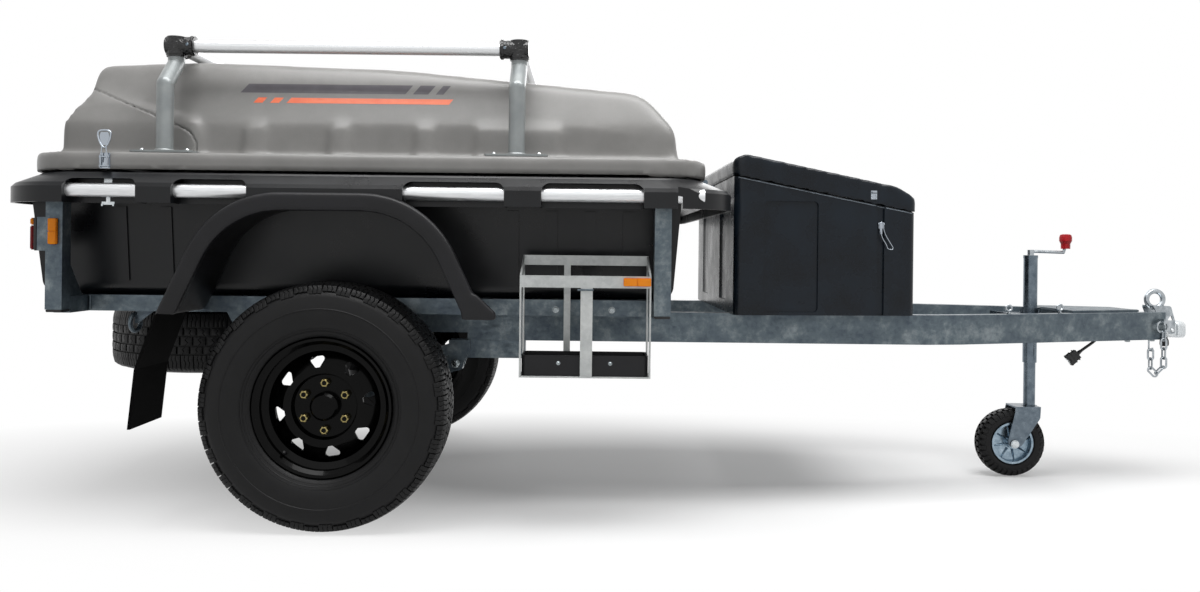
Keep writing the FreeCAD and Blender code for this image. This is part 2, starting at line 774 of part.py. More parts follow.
def rim(x, y, z):
    # Flanges with rolled edges, bead seats and a drop centre.
    b = RIM_W / 2
    f = FLANGE_R
    seat = BEAD_R - SEAT
    inside = seat - RIM_SKIN_T
    drop = DISC_R + RIM_SKIN_T
    front = [(f, -b), (f, -b - 3), (f - 4, -b - FLANGE_T), (f - 12, -b - 2), (inside + OVER, -b + 8),
             (inside, -b + 25)]
    well = [(DISC_R, 20), (drop + 10, 40), (inside, b - 5), (f - 12, b + 2), (f - 4, b + FLANGE_T),
            (f, b + 3), (f, b), (f - FLANGE_T, b - 1), (seat, b - 8), (seat, 45), (drop, 18),
            (drop, -b + 36), (seat, -b + 28), (seat, -b + 5), (f - FLANGE_T, -b + 1)]
    body = revolve_y(front + wheel_disc_points(b) + well, x, y, z)
    cuts = []
    for i in range(HOLE_COUNT):
        a = math.radians(HOLE_TURN + 360 * i / HOLE_COUNT)
        pts, rounds = [], []
        for (r, half, bend), sign in ((HOLE_OUT, -1), (HOLE_OUT, 1), (HOLE_IN, 1), (HOLE_IN, -1)):
            t = a + sign * half
            pts.append((x + r * math.cos(t), z + r * math.sin(t)))
            rounds.append(bend)
        cuts.append(prism_y(pts, y - b, y + b, rounds))
    face = y - b + DISC_DEPTH
    for px, pz in stud_places(x, z):
        hole = cyl(STUD_R + STUD_PLAY, (px, face - OVER, pz), (px, face + DISC_WALL + OVER, pz))
        cuts.append(hole)
    return body.cut(Part.makeCompound(cuts))


def stud_places(x, z):
    places = []
    for i in range(STUD_COUNT):
        a = 2 * math.pi * (i + 0.5) / STUD_COUNT
        places.append((x + STUD_PCD / 2 * math.cos(a), z + STUD_PCD / 2 * math.sin(a)))
    return places


def hub(x, y, z):
    b = RIM_W / 2
    face = y - b + DISC_DEPTH
    back = face + DISC_WALL + SEAT
    drum_y = back + HUB_FLANGE_T
    flange = cyl(HUB_FLANGE_R, (x, back, z), (x, drum_y, z))
    drum = cyl(HUB_DRUM_R, (x, drum_y, z), (x, drum_y + HUB_DRUM, z))
    front = face - CAP_H
    cap = cyl(CAP_R, (x, front, z), (x, back, z))
    cap = cap.makeChamfer(CAP_EDGE, [e for e in cap.Edges if abs(e.CenterOfMass.y - front) < OVER])
    bore = cyl(STUB_R + SEAT, (x, y, z), (x, drum_y + HUB_DRUM + OVER, z))
    parts = [flange, drum, cap]
    for px, pz in stud_places(x, z):
        parts.append(cyl(STUD_R, (px, face - STUD_TIP, pz), (px, back, pz)))
        parts.append(cyl(NUT_R, (px, face - NUT_H, pz), (px, face - SEAT, pz)))
    return fuse(parts).cut(bore)


# Mudguards and flaps

def arch(grow):
    # Corners of the guard's outline, moved inward by grow.
    lean = math.radians(GUARD_LEAN)
    top = GUARD_TOP - grow
    foot = GUARD_FOOT - grow / math.sin(lean)
    head = foot - (top - GUARD_LOW) / math.tan(lean)
    return [(-foot, GUARD_LOW), (foot, GUARD_LOW), (head, top), (-head, top)]


def arch_prism(grow, y0, y1, low=0):
    pts = arch(grow)
    pts[0] = (pts[0][0], pts[0][1] - low)
    pts[1] = (pts[1][0], pts[1][1] - low)
    return prism_y(pts, y0, y1, [0, 0, GUARD_ROUND - grow, GUARD_ROUND - grow])


def mudguard():
    inner_y = tub_wall(GUARD_LOW)[0]
    lip = -GUARD_OUT + GUARD_LIP
    band = arch_prism(0, -GUARD_OUT, lip)
    face = [e for e in band.Edges if abs(e.CenterOfMass.y + GUARD_OUT) < OVER]
    edge = [e for e in face if e.CenterOfMass.z > GUARD_LOW + OVER]
    band = band.makeFillet(GUARD_EDGE, edge).cut(arch_prism(GUARD_BAND, -GUARD_OUT - OVER, 0, OVER))
    shelf = arch_prism(GUARD_SHELF, lip, -inner_y)
    shelf = shelf.cut(arch_prism(GUARD_SHELF + GUARD_SKIN, -GUARD_OUT, 0, OVER))
    back, tip, low = GUARD_FOOT - TOE_BACK, GUARD_FOOT + TOE_OUT, GUARD_LOW - TOE_DROP
    toe = prism_y([(back, low), (tip, low), (tip, TOE_LOW), (tip - TOE_SLOPE, TOE_TOP), (back, TOE_TOP)],
                  -GUARD_OUT, lip, [0, TOE_DROP, TOE_DROP, TOE_DROP, 0])
    guard = fuse([band, shelf, toe])
    rail = box(FRAME_REAR, FRAME_FRONT, -FRAME_OUT - SEAT, -FRAME_OUT + BAR, FRAME_TOP - 2 * BAR,
               FRAME_TOP + SEAT)
    return guard.cut(rail).cut(tub_block(SEAT, GUARD_LOW - BAR, RIM_TOP))


def mudguards():
    return both(mudguard())


def mud_flaps():
    # Rubber sheets with a knee, hung inside the guards' rear feet.
    top = GUARD_LOW + FLAP_LAP
    front = []
    for drop, z in ((0, top), FLAP_KNEE, FLAP_END):
        front.append((FLAP_IN + FLAP_T - GUARD_FOOT - drop, z))
    rear = [(x - FLAP_T, z) for x, z in front[::-1]]
    flap = prism_y(front + rear, -GUARD_OUT, FLAP_W - GUARD_OUT)
    lip = -GUARD_OUT + GUARD_LIP
    under_band = arch_prism(GUARD_BAND + SEAT, -GUARD_OUT - OVER, lip + SEAT, OVER)
    under_shelf = arch_prism(GUARD_SHELF + GUARD_SKIN + SEAT, lip, OVER, OVER)
    guard = arch_prism(-SEAT, -GUARD_OUT - SEAT, 0, SEAT).cut(under_band.fuse(under_shelf))
    return both(flap.cut(guard))


# Tub

def tub_wall(z):
    # Half width and end stations of the drafted tub at a height.
    lean = TUB_DRAFT * (RIM_TOP - z) / (RIM_TOP - FRAME_TOP)
    return TUB_TOP_HALF - lean, REAR_END + TUB_REAR_GAP + END_DRAFT * lean, TUB_FRONT - END_DRAFT * lean


def tub_block(grow, low, top):
    # The drafted block of the tub, grown outward.
    half, rear, front = tub_wall(low)
    half_top, rear_top, front_top = tub_wall(top)
    side = [(rear - grow, low), (front + grow, low), (front_top + grow, top), (rear_top - grow, top)]
    across = [(-half - grow, low), (half + grow, low), (half_top + grow, top), (-half_top - grow, top)]
    r = TUB_CORNER + grow
    return prism_y(side, -POST_Y, POST_Y, [r, r, 0, 0]).common(
        prism_x(across, REAR_END - WALL, TUB_FRONT + 2 * WALL, [r, r, 0, 0]))


def rim_form(inset):
    # The moulded rim as a solid: rounded corners in plan and a bevel that widens at both ends.
    low = RIM_BOTTOM - (OVER if inset else 0)
    steps = [(low, 0, 0), (RIM_TOP - BEVEL_DROP - inset, 0, 0)]
    for rise, side in BEVEL:
        steps.append((RIM_TOP - BEVEL_DROP * (1 - rise) - inset, side * BEVEL_END, side * BEVEL_SIDE))
    wires = []
    for z, end, side in steps:
        u, v = inset + end, inset + side
        pts = corners(REAR_END + u, RIM_FRONT - u, -RIM_HALF + v, RIM_HALF - v)
        wires.append(outline(pts, RIM_CORNER - v, lambda q, z=z: V(q.x, q.y, z)))
    return Part.makeLoft(wires, True, True)


def under_rim(s, inset):
    # Trims what rises above the rim's lower edge to the rim's own form.
    over = box(REAR_END - BAR, RIM_FRONT + BAR, -RIM_HALF - BAR, RIM_HALF + BAR, RIM_BOTTOM, RIM_TOP + BAR)
    return s.cut(over.cut(rim_form(inset)))


def scoop(x0, x1, grow):
    # A hand-deep scallop in the rim's fascia, open below, with rounded upper corners.
    low = RIM_BOTTOM - 2 * OVER
    pts = corners(x0 - grow, x1 + grow, low, RIM_TOP - SCOOP_TOP_GAP + grow)
    r = SCOOP_CORNER + grow
    return prism_y(pts, -RIM_HALF - OVER, -RIM_HALF + SCOOP_DEPTH + grow, [0, 0, r, r])


def tub_ribs():
    low, top = FRAME_TOP + TUB_CORNER, RIM_TOP - RIB_TOP_GAP
    half = tub_wall(low)[0]
    ribs = []
    for x in RIB_X:
        rib = box(x, x + RIB_W, -POST_Y, -half + WALL, low, top)
        ribs.append(rib.common(tub_block(RIB_DEPTH, FRAME_TOP, RIM_TOP)))
    return ribs


def tie_bores():
    bores = []
    for x0, x1 in TIES:
        bores.append(cyl(TIE_R + SEAT, (x0 - SEAT, -TIE_Y, TIE_Z), (x1 + SEAT, -TIE_Y, TIE_Z)))
    return bores


def post_pockets():
    # Room for the posts' heads under the rim's roof.
    pockets = []
    for x in (FRAME_REAR, FRAME_FRONT - BAR):
        y0, y1 = -POST_Y - BAR / 2 - SEAT, -POST_Y + BAR / 2 + SEAT
        pockets.append(box(x - SEAT, x + BAR + SEAT, y0, y1, RIM_BOTTOM - OVER, RIM_TOP - WALL))
    return pockets


def tub_mouth():
    half, rear, front = tub_wall(RIM_TOP)
    return plate(rear + MOUTH_REAR, front - MOUTH_SIDE / 2, -half + MOUTH_SIDE, half - MOUTH_SIDE,
                 RIM_TOP - RIM_SKIN - OVER, RIM_TOP + OVER, MOUTH_CORNER)


def tub():
    rim_solid = rim_form(0)
    walls = under_rim(tub_block(0, FRAME_TOP + SEAT, RIM_TOP), 0)
    cavity = under_rim(tub_block(-WALL, FRAME_TOP + SEAT + WALL, RIM_TOP), RIM_SKIN)
    linings = [scoop(x0, x1, SCOOP_SKIN).common(rim_solid) for x0, x1 in SCOOPS]
    end = box(END_SCOOP[0], END_SCOOP[1], -RIM_HALF - OVER, -RIM_HALF + END_SCOOP_DEPTH, RIM_BOTTOM - OVER,
              RIM_TOP - SCOOP_TOP_GAP)
    proud = linings + tub_ribs()
    cuts = [scoop(x0, x1, 0) for x0, x1 in SCOOPS] + [end] + tie_bores() + post_pockets()
    body = fuse([rim_solid.cut(rim_form(RIM_SKIN)), walls] + proud + [mirrored(p) for p in proud])
    return body.cut(Part.makeCompound(cuts + [mirrored(c) for c in cuts])).cut(cavity).cut(tub_mouth())


def tie_rail():
    bars = []
    for x0, x1 in TIES:
        t = tube(TIE_R, TIE_R - TIE_WALL, (x0, -TIE_Y, TIE_Z), (x1, -TIE_Y, TIE_Z))
        bars += [t, mirrored(t)]
    return Part.makeCompound(bars)


# Lights

def tail_lamps():
    out = POST_Y + BAR / 2 - LAMP_INSET
    front = FRAME_REAR - LAMP_STEP - SEAT
    face = corners(out - LAMP_W, out, LAMP_Z, LAMP_Z + LAMP_H)
    return both(prism_x(face, front - LAMP_T, front, LAMP_EDGE))


def side_markers():
    y0 = -(POST_Y + BAR / 2) - SEAT - MARKER_T
    x = FRAME_REAR + (BAR - MARKER_W) / 2
    rear = prism_y(corners(x, x + MARKER_W, *MARKER_Z), y0, y0 + MARKER_T, MARKER_EDGE)
    y0 = -CAN_OUT - SEAT - MARKER_T
    top = CAN_FRONT_TOP - FRONT_MARKER_DROP
    plan = corners(*FRONT_MARKER_X, top - FRONT_MARKER_H, top)
    front = prism_y(plan, y0, y0 + MARKER_T, MARKER_EDGE)
    return Part.makeCompound([rear, mirrored(rear), front])


# Jerry-can holder

def jerry_holder():
    x0, x1 = CAN_X
    t = STRAP_T
    out, inn = -CAN_OUT, -CAN_IN
    back = box(x0, x1, inn - CAN_BACK_T, inn, CAN_BACK_TOP - CAN_BACK_H, CAN_BACK_TOP)
    front = box(x0, x1, out, out + t, CAN_FRONT_TOP - STRAP, CAN_FRONT_TOP)
    centre = box(STRAP_X, STRAP_X + STRAP, out, out + t, CAN_FLOOR, CAN_FRONT_TOP)
    base = box(x0, x1, out, inn, CAN_FLOOR, CAN_FLOOR + t)
    parts = [back, front, centre, base]
    top, low = (out + t, CAN_FRONT_TOP), (out + t, CAN_FRONT_TOP - STRAP)
    ramp = [top, low, (inn - t, CAN_BACK_TOP - STRAP), (inn - t, CAN_BACK_TOP)]
    under = CAN_BACK_TOP - CAN_BACK_H
    for x in (x0, x1 - CAN_SIDE_T):
        side = x + CAN_SIDE_T
        parts.append(prism_x(ramp, x, side))
        parts.append(box(x, side, out, out + CAN_ARM, CAN_FLOOR, CAN_FRONT_TOP - STRAP))
        parts.append(box(x, side, inn - CAN_ARM, inn, CAN_FLOOR, under))
    x = CAN_ARM_X
    parts.append(box(x, x + CAN_ARM, inn, -FRAME_OUT - SEAT, FRAME_TOP - CAN_BACK_H, FRAME_TOP))
    parts.append(box(x, x + CAN_ARM, inn - CAN_BACK_T, inn, CAN_FLOOR, under))
    return fuse(parts)


def jerry_tray():
    x0, x1 = CAN_X[0] + TRAY_END, CAN_X[1] - TRAY_END
    y0, y1 = -CAN_OUT + TRAY_OUT, -CAN_IN - TRAY_IN
    low = CAN_FLOOR + STRAP_T + SEAT
    w = TRAY_WALL
    tray = plate(x0, x1, y0, y1, low, low + TRAY_H, TRAY_CORNER)
    return tray.cut(plate(x0 + w, x1 - w, y0 + w, y1 - w, low + w, low + TRAY_H + OVER, TRAY_CORNER - w))


# Toolbox

def box_plan(inset, z0, z1):
    half = BOX_HALF - inset
    narrow = half - BOX_TAPER
    rear, front = BOX_REAR + inset, BOX_FRONT - inset
    pts = [(rear, -half), (front, -narrow), (front, narrow), (rear, half)]
    return prism_z(pts, z0, z1, BOX_CORNER - inset)


def split_side(above, gap):
    # Everything above or below the slanted parting plane.
    slope = (BOX_SPLIT_FRONT - BOX_SPLIT_REAR) / (BOX_FRONT - BOX_REAR)
    ends = []
    for x in (BOX_REAR - BAR, BOX_FRONT + BAR):
        ends.append((x, BOX_SPLIT_REAR + slope * (x - BOX_REAR) + gap))
    far = BOX_TOP + 2 * BAR if above else RAIL_TOP - BAR
    return prism_y(ends + [(ends[1][0], far), (ends[0][0], far)], -BOX_HALF - BAR, BOX_HALF + BAR)


def side_band(depth, x0, x1, z0, z1, r):
    # The outer skin of both sides between two stations, to be cut away.
    window = prism_y(corners(x0, x1, z0, z1), -BOX_HALF - BAR, BOX_HALF + BAR, r)
    return window.common(box_plan(-2 * LID_LIP, z0, z1).cut(box_plan(depth, z0 - OVER, z1 + OVER)))


def toolbox_body():
    outer = box_plan(0, RAIL_TOP, BOX_SPLIT_REAR + OVER).common(split_side(False, 0))
    inner = box_plan(WALL, RAIL_TOP + WALL, BOX_TOP)
    recess = side_band(RECESS_DEPTH, *RECESS, RAIL_TOP + RECESS_LOW, RECESS_TOP, RECESS_CORNER)
    groove = side_band(GROOVE_DEPTH, *GROOVE, RAIL_TOP + OVER, BOX_TOP, 0)
    core = box_plan(RECESS_DEPTH, RAIL_TOP - OVER, BOX_TOP + OVER)
    wall_skin = box_plan(-OVER, RAIL_TOP, BOX_TOP).cut(core)
    x = BOX_REAR - FLUTE_R + FLUTE_DEPTH
    z0, z1 = RAIL_TOP + FLUTE_END, BOX_SPLIT_REAR - FLUTE_END
    flutes = []
    for y in (-FLUTE_Y, FLUTE_Y):
        flutes.append(cyl(FLUTE_R, (x, y, z0), (x, y, z1)).common(wall_skin))
    return outer.cut(Part.makeCompound([recess, groove] + flutes)).cut(inner)


def lid_profile(t):
    # Side outline of the toolbox lid, with its walls thinned by t.
    low = BOX_SPLIT_FRONT - LID_SKIRT
    top = BOX_TOP - t
    back = BOX_REAR - LID_LIP + t
    front = BOX_FRONT + LID_LIP - t
    crest, brow = BOX_REAR + LID_BACK[0], BOX_FRONT - LID_BROW[0]
    return [(back, low), (back, top - LID_BACK[1]), (crest, top), (brow, top - LID_BROW[1]),
            (front, top - LID_LOW), (front, low)]


def toolbox_lid():
    low, wide = BOX_SPLIT_FRONT - 2 * LID_SKIRT, BOX_HALF + BAR
    tight = [max(r - LID_LIP, 0) for r in LID_ROUNDS]
    shell = box_plan(-LID_LIP, low, BOX_TOP).common(prism_y(lid_profile(0), -wide, wide, LID_ROUNDS))
    room = box_plan(WALL - LID_LIP, low, BOX_TOP).common(prism_y(lid_profile(WALL), -wide, wide, tight))
    groove = side_band(GROOVE_DEPTH - LID_LIP, *GROOVE, low, BOX_TOP, 0)
    crest, brow = BOX_REAR + LID_BACK[0], BOX_FRONT - LID_BROW[0]
    slope = LID_BROW[1] / (brow - crest)
    skin = []
    for x in (BOX_REAR + ROOF_RIB[0], BOX_REAR + ROOF_RIB[1]):
        skin.append((x, BOX_TOP - slope * (x - crest)))
    (x0, z0), (x1, z1) = skin
    u0, u1 = x0 + ROOF_RIB_SLANT, x1 - ROOF_RIB_SLANT
    side = [(x0, z0 - LID_LIP), (u0, z0 + ROOF_RIB_H), (u1, z1 + ROOF_RIB_H), (x1, z1 - LID_LIP)]
    ribs = [prism_y(side, y - ROOF_RIB_HALF, y + ROOF_RIB_HALF) for y in (-ROOF_RIB_Y, ROOF_RIB_Y)]
    return fuse([shell.common(split_side(True, SPLIT_GAP))] + ribs).cut(room).cut(groove)


def toolbox_latches():
    # Over-centre latches lying in the grooves: plate, lever and bar.
    z0, z1 = LATCH_Z
    w, out = LATCH_HALF - LEVER_IN, LATCH_T + LEVER_T
    bar_y, bar_z = LATCH_BAR_R - out - OVER, z0 + LEVER_SPAN[1] + LATCH_BAR_R
    plate_part = box(-LATCH_HALF, LATCH_HALF, -LATCH_T, 0, z0, z1)
    lever = box(-w, w, -out, -LATCH_T, z0 + LEVER_SPAN[0], z0 + LEVER_SPAN[1])
    latch = fuse([plate_part, lever, cyl(LATCH_BAR_R, (-w - OVER, bar_y, bar_z), (w + OVER, bar_y, bar_z))])
    turn = math.atan2(BOX_TAPER, BOX_FRONT - BOX_REAR)
    latch.rotate(V(0, 0, 0), V(0, 0, 1), math.degrees(turn))
    skin = -BOX_HALF + math.tan(turn) * (LATCH_X - BOX_REAR)
    latch.translate(V(LATCH_X, skin + (GROOVE_DEPTH - SEAT) / math.cos(turn), 0))
    return both(latch)


# Spare wheel, lying flat under the rear

def lay_flat(s):
    s = s.copy()
    s.rotate(V(0, 0, 0), V(1, 0, 0), 90)
    s.translate(V(SPARE_X, 0, SPARE_Z))
    return s


# Lid

def body_foot(t):
    # The body sinks into the flange; its hollow reaches below the lid's seat.
    return LID_SEAT - BODY_SINK if t else LID_SEAT + BODY_SINK


def lid_side(t):
    # Long outline of the lid's body, with its walls thinned by t.
    top = LID_TOP - t
    low = body_foot(t)
    kink = REAR_BACK - FACE_ROUND / 4
    return [(REAR_FOOT + t, low), (kink + t, LID_TOP - REAR_KINK), (REAR_BACK + t, top - REAR_ROUND),
            (CREST_X, top), (NECK_X, top - NECK_DROP), (BROW_X - t, top - BROW_DROP),
            (FRONT_FOOT - WALL - t, SHOULDER), (FRONT_FOOT - t, low)]


def lid_face(t):
    half = [(BODY_HALF - t, body_foot(t)), (SHOULDER_HALF - t, SHOULDER - t / 2),
            (TOP_HALF - t, LID_TOP + REAR_ROUND)]
    return half + [(-y, z) for y, z in half[::-1]]


def lid_body(t):
    rounds = list(SIDE_ROUNDS)
    rounds[2] -= t
    side = prism_y(lid_side(t), -LID_HALF, LID_HALF, rounds)
    face = prism_x(lid_face(t), LID_REAR, LID_FRONT, [0, FACE_ROUND, 0, 0, FACE_ROUND, 0])
    return side.common(face)


def round_top(body):
    # Rounds the long edges where the roof meets the leaning sides.
    edges = []
    for e in body.Edges:
        c = e.CenterOfMass
        if TOP_HALF - FACE_ROUND < abs(c.y) < SHOULDER_HALF - OVER and c.z > SHOULDER + FACE_ROUND:
            edges.append(e)
    return body.makeFillet(TOP_ROUND, edges)


def rear_block():
    # The lid's rear flanks stand proud below a crease that falls towards the front.
    rear, low, front = REAR_FOOT - BLOCK_DEPTH, FLANGE_TOP - BLOCK_SINK, BLOCK_CREASE[-1][0]
    crease = [(x, LID_TOP - drop) for x, drop in BLOCK_CREASE]
    points = [(rear, low), (rear + BUTTRESS_LEAN, SHOULDER - WALL)] + crease + [(front, low)]
    side = prism_y(points, -LID_HALF, LID_HALF, BLOCK_ROUNDS)
    grown = [(y + math.copysign(BLOCK_DEPTH, y), z) for y, z in lid_face(0)]
    return side.common(prism_x(grown, LID_REAR, front + OVER, [0, FACE_ROUND, 0, 0, FACE_ROUND, 0]))


def buttress(x0, x1):
    low, top = FLANGE_TOP - BLOCK_SINK, SHOULDER - BUTTRESS_DROP
    out, lean = -BODY_HALF - BUTTRESS_DEPTH, -SHOULDER_HALF - BUTTRESS_DEPTH + BUTTRESS_LEAN
    pts = [(-BODY_HALF + BUTTRESS_IN, low), (out, low), (lean, top),
           (-SHOULDER_HALF + BUTTRESS_IN, SHOULDER + BUTTRESS_RISE)]
    rib = prism_x(pts, x0, x1, [0, 0, BUTTRESS_EDGE, 0])
    posts = []
    for e in rib.Edges:
        upright = abs(e.tangentAt(e.FirstParameter).x) < 0.5
        if upright and e.CenterOfMass.y < -BODY_HALF and e.Length > (top - low) / 2:
            posts.append(e)
    return rib.makeFillet(BUTTRESS_EDGE, posts)


def lid():
    flange = plate(LID_REAR, LID_FRONT, -LID_HALF, LID_HALF, LID_SEAT, FLANGE_TOP, LID_CORNER)
    rims = [e for e in flange.Edges if abs(e.CenterOfMass.z - FLANGE_TOP) < OVER]
    flange = flange.makeFillet(FLANGE_EDGE, rims)
    forms = [flange, round_top(lid_body(0)), rear_block()]
    for x0, x1 in BUTTRESS_X:
        rib = buttress(x0, x1)
        forms += [rib, mirrored(rib)]
    half = BODY_HALF - 3 * WALL
    mouth = box(REAR_FOOT + 2 * WALL, FRONT_FOOT - 3 * WALL, -half, half, LID_SEAT - OVER,
                LID_SEAT + 2 * BODY_SINK)
    return fuse(forms).cut(lid_body(WALL)).cut(mouth)


def lid_hinges():
    # Fixed leaves on the tub's front rim, with their pins.
    x, z = HINGE_X, HINGE_Z
    r = KNUCKLE_R
    low = RIM_TOP + SEAT
    pin = LEAF_HALF + HINGE_PIN_OVER
    parts = []
    for y in (-LEAF_Y, LEAF_Y):
        leaf = box(x - LEAF_REAR, x + LEAF_FRONT, y - LEAF_HALF, y + LEAF_HALF, low, low + LEAF_T)
        solids = [leaf, cyl(HINGE_PIN_R, (x, y - pin, z), (x, y + pin, z))]
        for a, b in ((-LEAF_HALF, KNUCKLE - LEAF_HALF), (LEAF_HALF - KNUCKLE, LEAF_HALF)):
            solids.append(box(x - LEAF_REAR, x + LEAF_REAR, y + a, y + b, low + LEAF_T, z))
            solids.append(cyl(r, (x, y + a, z), (x, y + b, z)))
        parts.append(fuse(solids))
    return Part.makeCompound(parts)


def lid_leaves():
    x, z = HINGE_X, HINGE_Z
    half = LEAF_HALF - KNUCKLE - KNUCKLE_PLAY
    parts = []
    for y in (-LEAF_Y, LEAF_Y):
        barrel = cyl(KNUCKLE_R, (x, y - half, z), (x, y + half, z))
        near = LID_FRONT + SEAT
        arm = box(near, x, y - half, y + half, z, z + KNUCKLE_R)
        back = box(near, near + LEAF_T, y - half, y + half, z + LID_LEAF[0], z + LID_LEAF[1])
        bore = cyl(HINGE_PIN_R + SEAT, (x, y - half - OVER, z), (x, y + half + OVER, z))
        parts.append(fuse([barrel, arm, back]).cut(bore))
    return Part.makeCompound(parts)


def latch_box(across, deep, rise):
    # A block whose heights are measured from the flange's top.
    return box(*across, *deep, FLANGE_TOP + rise[0], FLANGE_TOP + rise[1])


def lid_latches():
    # Over-centre latches on the flange: a lever and a hook plate at each side, smaller ones behind.
    t, out = LEAF_T, SIDE_LEVER_T
    y = -LID_HALF - SEAT
    (a, b), edge, h = SIDE_LATCH, LEVER_IN, HOOK_INSET
    base = latch_box((a, b), (y - t, y), SIDE_LATCH_Z)
    lever = latch_box((a + 2 * edge, b - 2 * edge), (y - t - out, y - t), SIDE_LEVER_Z)
    hook = latch_box((a + h, b - h), (y - out, y - t + OVER), SIDE_HOOK_Z)
    side = fuse([base, lever, hook])
    x = LID_REAR - SEAT
    (a, b) = REAR_LATCH
    base = latch_box((x - t, x), (a, b), REAR_LATCH_Z)
    hook = latch_box((x - out, x - t + OVER), (a + h, b - h), REAR_HOOK_Z)
    rear = fuse([base, hook])
    return Part.makeCompound([side, mirrored(side), rear, mirrored(rear)])


# Roof rack

def rack_leg(x):
    low = FLANGE_TOP + SEAT
    top = low + LEG_FOOT_T
    y0, y1 = LEG_Y - LEG_FOOT_Y, LEG_Y + LEG_FOOT_Y
    foot = plate(x - LEG_FOOT_X, x + LEG_FOOT_X, y0, y1, low, top, LEG_FOOT_CORNER)
    r = LEG_R
    mid = LEG_TOP - LEG_NECK
    up = cyl(r, (x, LEG_Y, top), (x, LEG_Y, LEG_BEND))
    lean = cyl(r, (x, LEG_Y, LEG_BEND), (x, BAR_Y, mid))
    neck = cyl(r, (x, BAR_Y, mid), (x, BAR_Y, LEG_TOP))
    knees = [Part.makeSphere(r, V(x, LEG_Y, LEG_BEND)), Part.makeSphere(r, V(x, BAR_Y, mid))]
    over = box(x - 2 * r, x + 2 * r, BAR_Y - 2 * r, BAR_Y + 2 * r, LEG_TOP, LEG_TOP + BAR)
    weld = Part.makeCone(r + LEG_WELD, r, LEG_WELD, V(x, LEG_Y, top), V(0, 0, 1))
    return fuse([foot, up, lean, neck, weld] + knees).cut(over)


def rack_legs():
    legs = [rack_leg(x) for x in LEG_X]
    return Part.makeCompound(legs + [mirrored(s) for s in legs])


def rack_joints():
    # Three-way sockets that hold the round bars on the legs.
    parts = []
    for x, d in ((LEG_X[0], 1), (LEG_X[1], -1)):
        r, wide, y, z = JOINT_R, JOINT_R + JOINT_STEP, BAR_Y, BAR_Z
        socket = cyl(r, (x, y, LEG_TOP + SEAT), (x, y, z + r - JOINT_STEP))
        along = cyl(r - JOINT_STEP / 2, (x - d * r, y, z), (x + d * JOINT_REACH, y, z))
        across = cyl(r - JOINT_STEP / 2, (x, y, z), (x, y - JOINT_SIDE, z))
        end = JOINT_REACH - JOINT_RIM_IN
        bar_rim = cyl(wide, (x + d * (end - JOINT_RIM), y, z), (x + d * end, y, z))
        low = LEG_TOP + JOINT_RIM_UP
        leg_rim = cyl(wide, (x, y, low), (x, y, low + JOINT_RIM))
        parts.append(fuse([socket, along, across, bar_rim, leg_rim]))
    return Part.makeCompound(parts + [mirrored(s) for s in parts])


def rack_bars():
    a, b = LEG_X
    start, end = a + JOINT_REACH + SEAT, b - JOINT_REACH - SEAT
    side = cyl(BAR_R, (start, BAR_Y, BAR_Z), (end, BAR_Y, BAR_Z))
    reach = BAR_Y - JOINT_SIDE - SEAT
    cross = [cyl(BAR_R, (x, -reach, BAR_Z), (x, reach, BAR_Z)) for x in (a, b)]
    return Part.makeCompound([side, mirrored(side)] + cross)


# Jockey stand

def jockey_tube():
    x = JOCKEY_X
    barrel = tube(JOCKEY_OUT_R, JOCKEY_IN_R + JOCKEY_SLIP, (x, 0, JOCKEY_FOOT), (x, 0, JOCKEY_HEAD))
    top = cyl(JOCKEY_OUT_R + OVER, (x, 0, JOCKEY_HEAD), (x, 0, JOCKEY_HEAD + CROWN_T))
    low, high = CLAMP_Z
    clamp = tube(CLAMP_R, JOCKEY_OUT_R, (x, 0, low), (x, 0, high))
    plate_low = low + CLAMP_PLATE_RISE
    mount = between_rails(x - CLAMP_PLATE, x + CLAMP_PLATE, plate_low, plate_low + CLAMP_PLATE_T, SEAT)
    core = cyl(JOCKEY_OUT_R, (x, 0, low), (x, 0, high))
    z = low + CLAMP_BOLT
    bolt = cyl(PIN_R, (x - CLAMP_R - CLAMP_BOLT, 0, z), (x - JOCKEY_OUT_R, 0, z))
    return fuse([barrel, top, clamp, mount.cut(core), bolt])


def jockey_crank():
    # A cranked rod with its grip, on the stand's head.
    x, z = JOCKEY_X, JOCKEY_HEAD + CROWN_T + SEAT
    r = CRANK_R
    neck = cyl(CRANK_NECK_R, (x, 0, z), (x, 0, z + CRANK_NECK))
    tip = V(x + CRANK_REACH, 0, z + 2 * r)
    arm = cyl(r, (x, 0, z + CRANK_RISE), (tip.x, 0, tip.z))
    elbow = Part.makeSphere(r, tip)
    head = tip + V(CRANK_LEAN, 0, CRANK_RISE)
    rod = cyl(r, (tip.x, 0, tip.z), (head.x, 0, head.z + GRIP_DROP))
    grip = revolve_z(GRIP, head.x, 0, head.z)
    return fuse([neck, arm, elbow, rod, grip])


def jockey_inner():
    x = JOCKEY_X
    return tube(JOCKEY_IN_R, JOCKEY_IN_R - TIE_WALL, (x, 0, JOCKEY_CROWN), (x, 0, JOCKEY_HEAD - INNER_TOP))


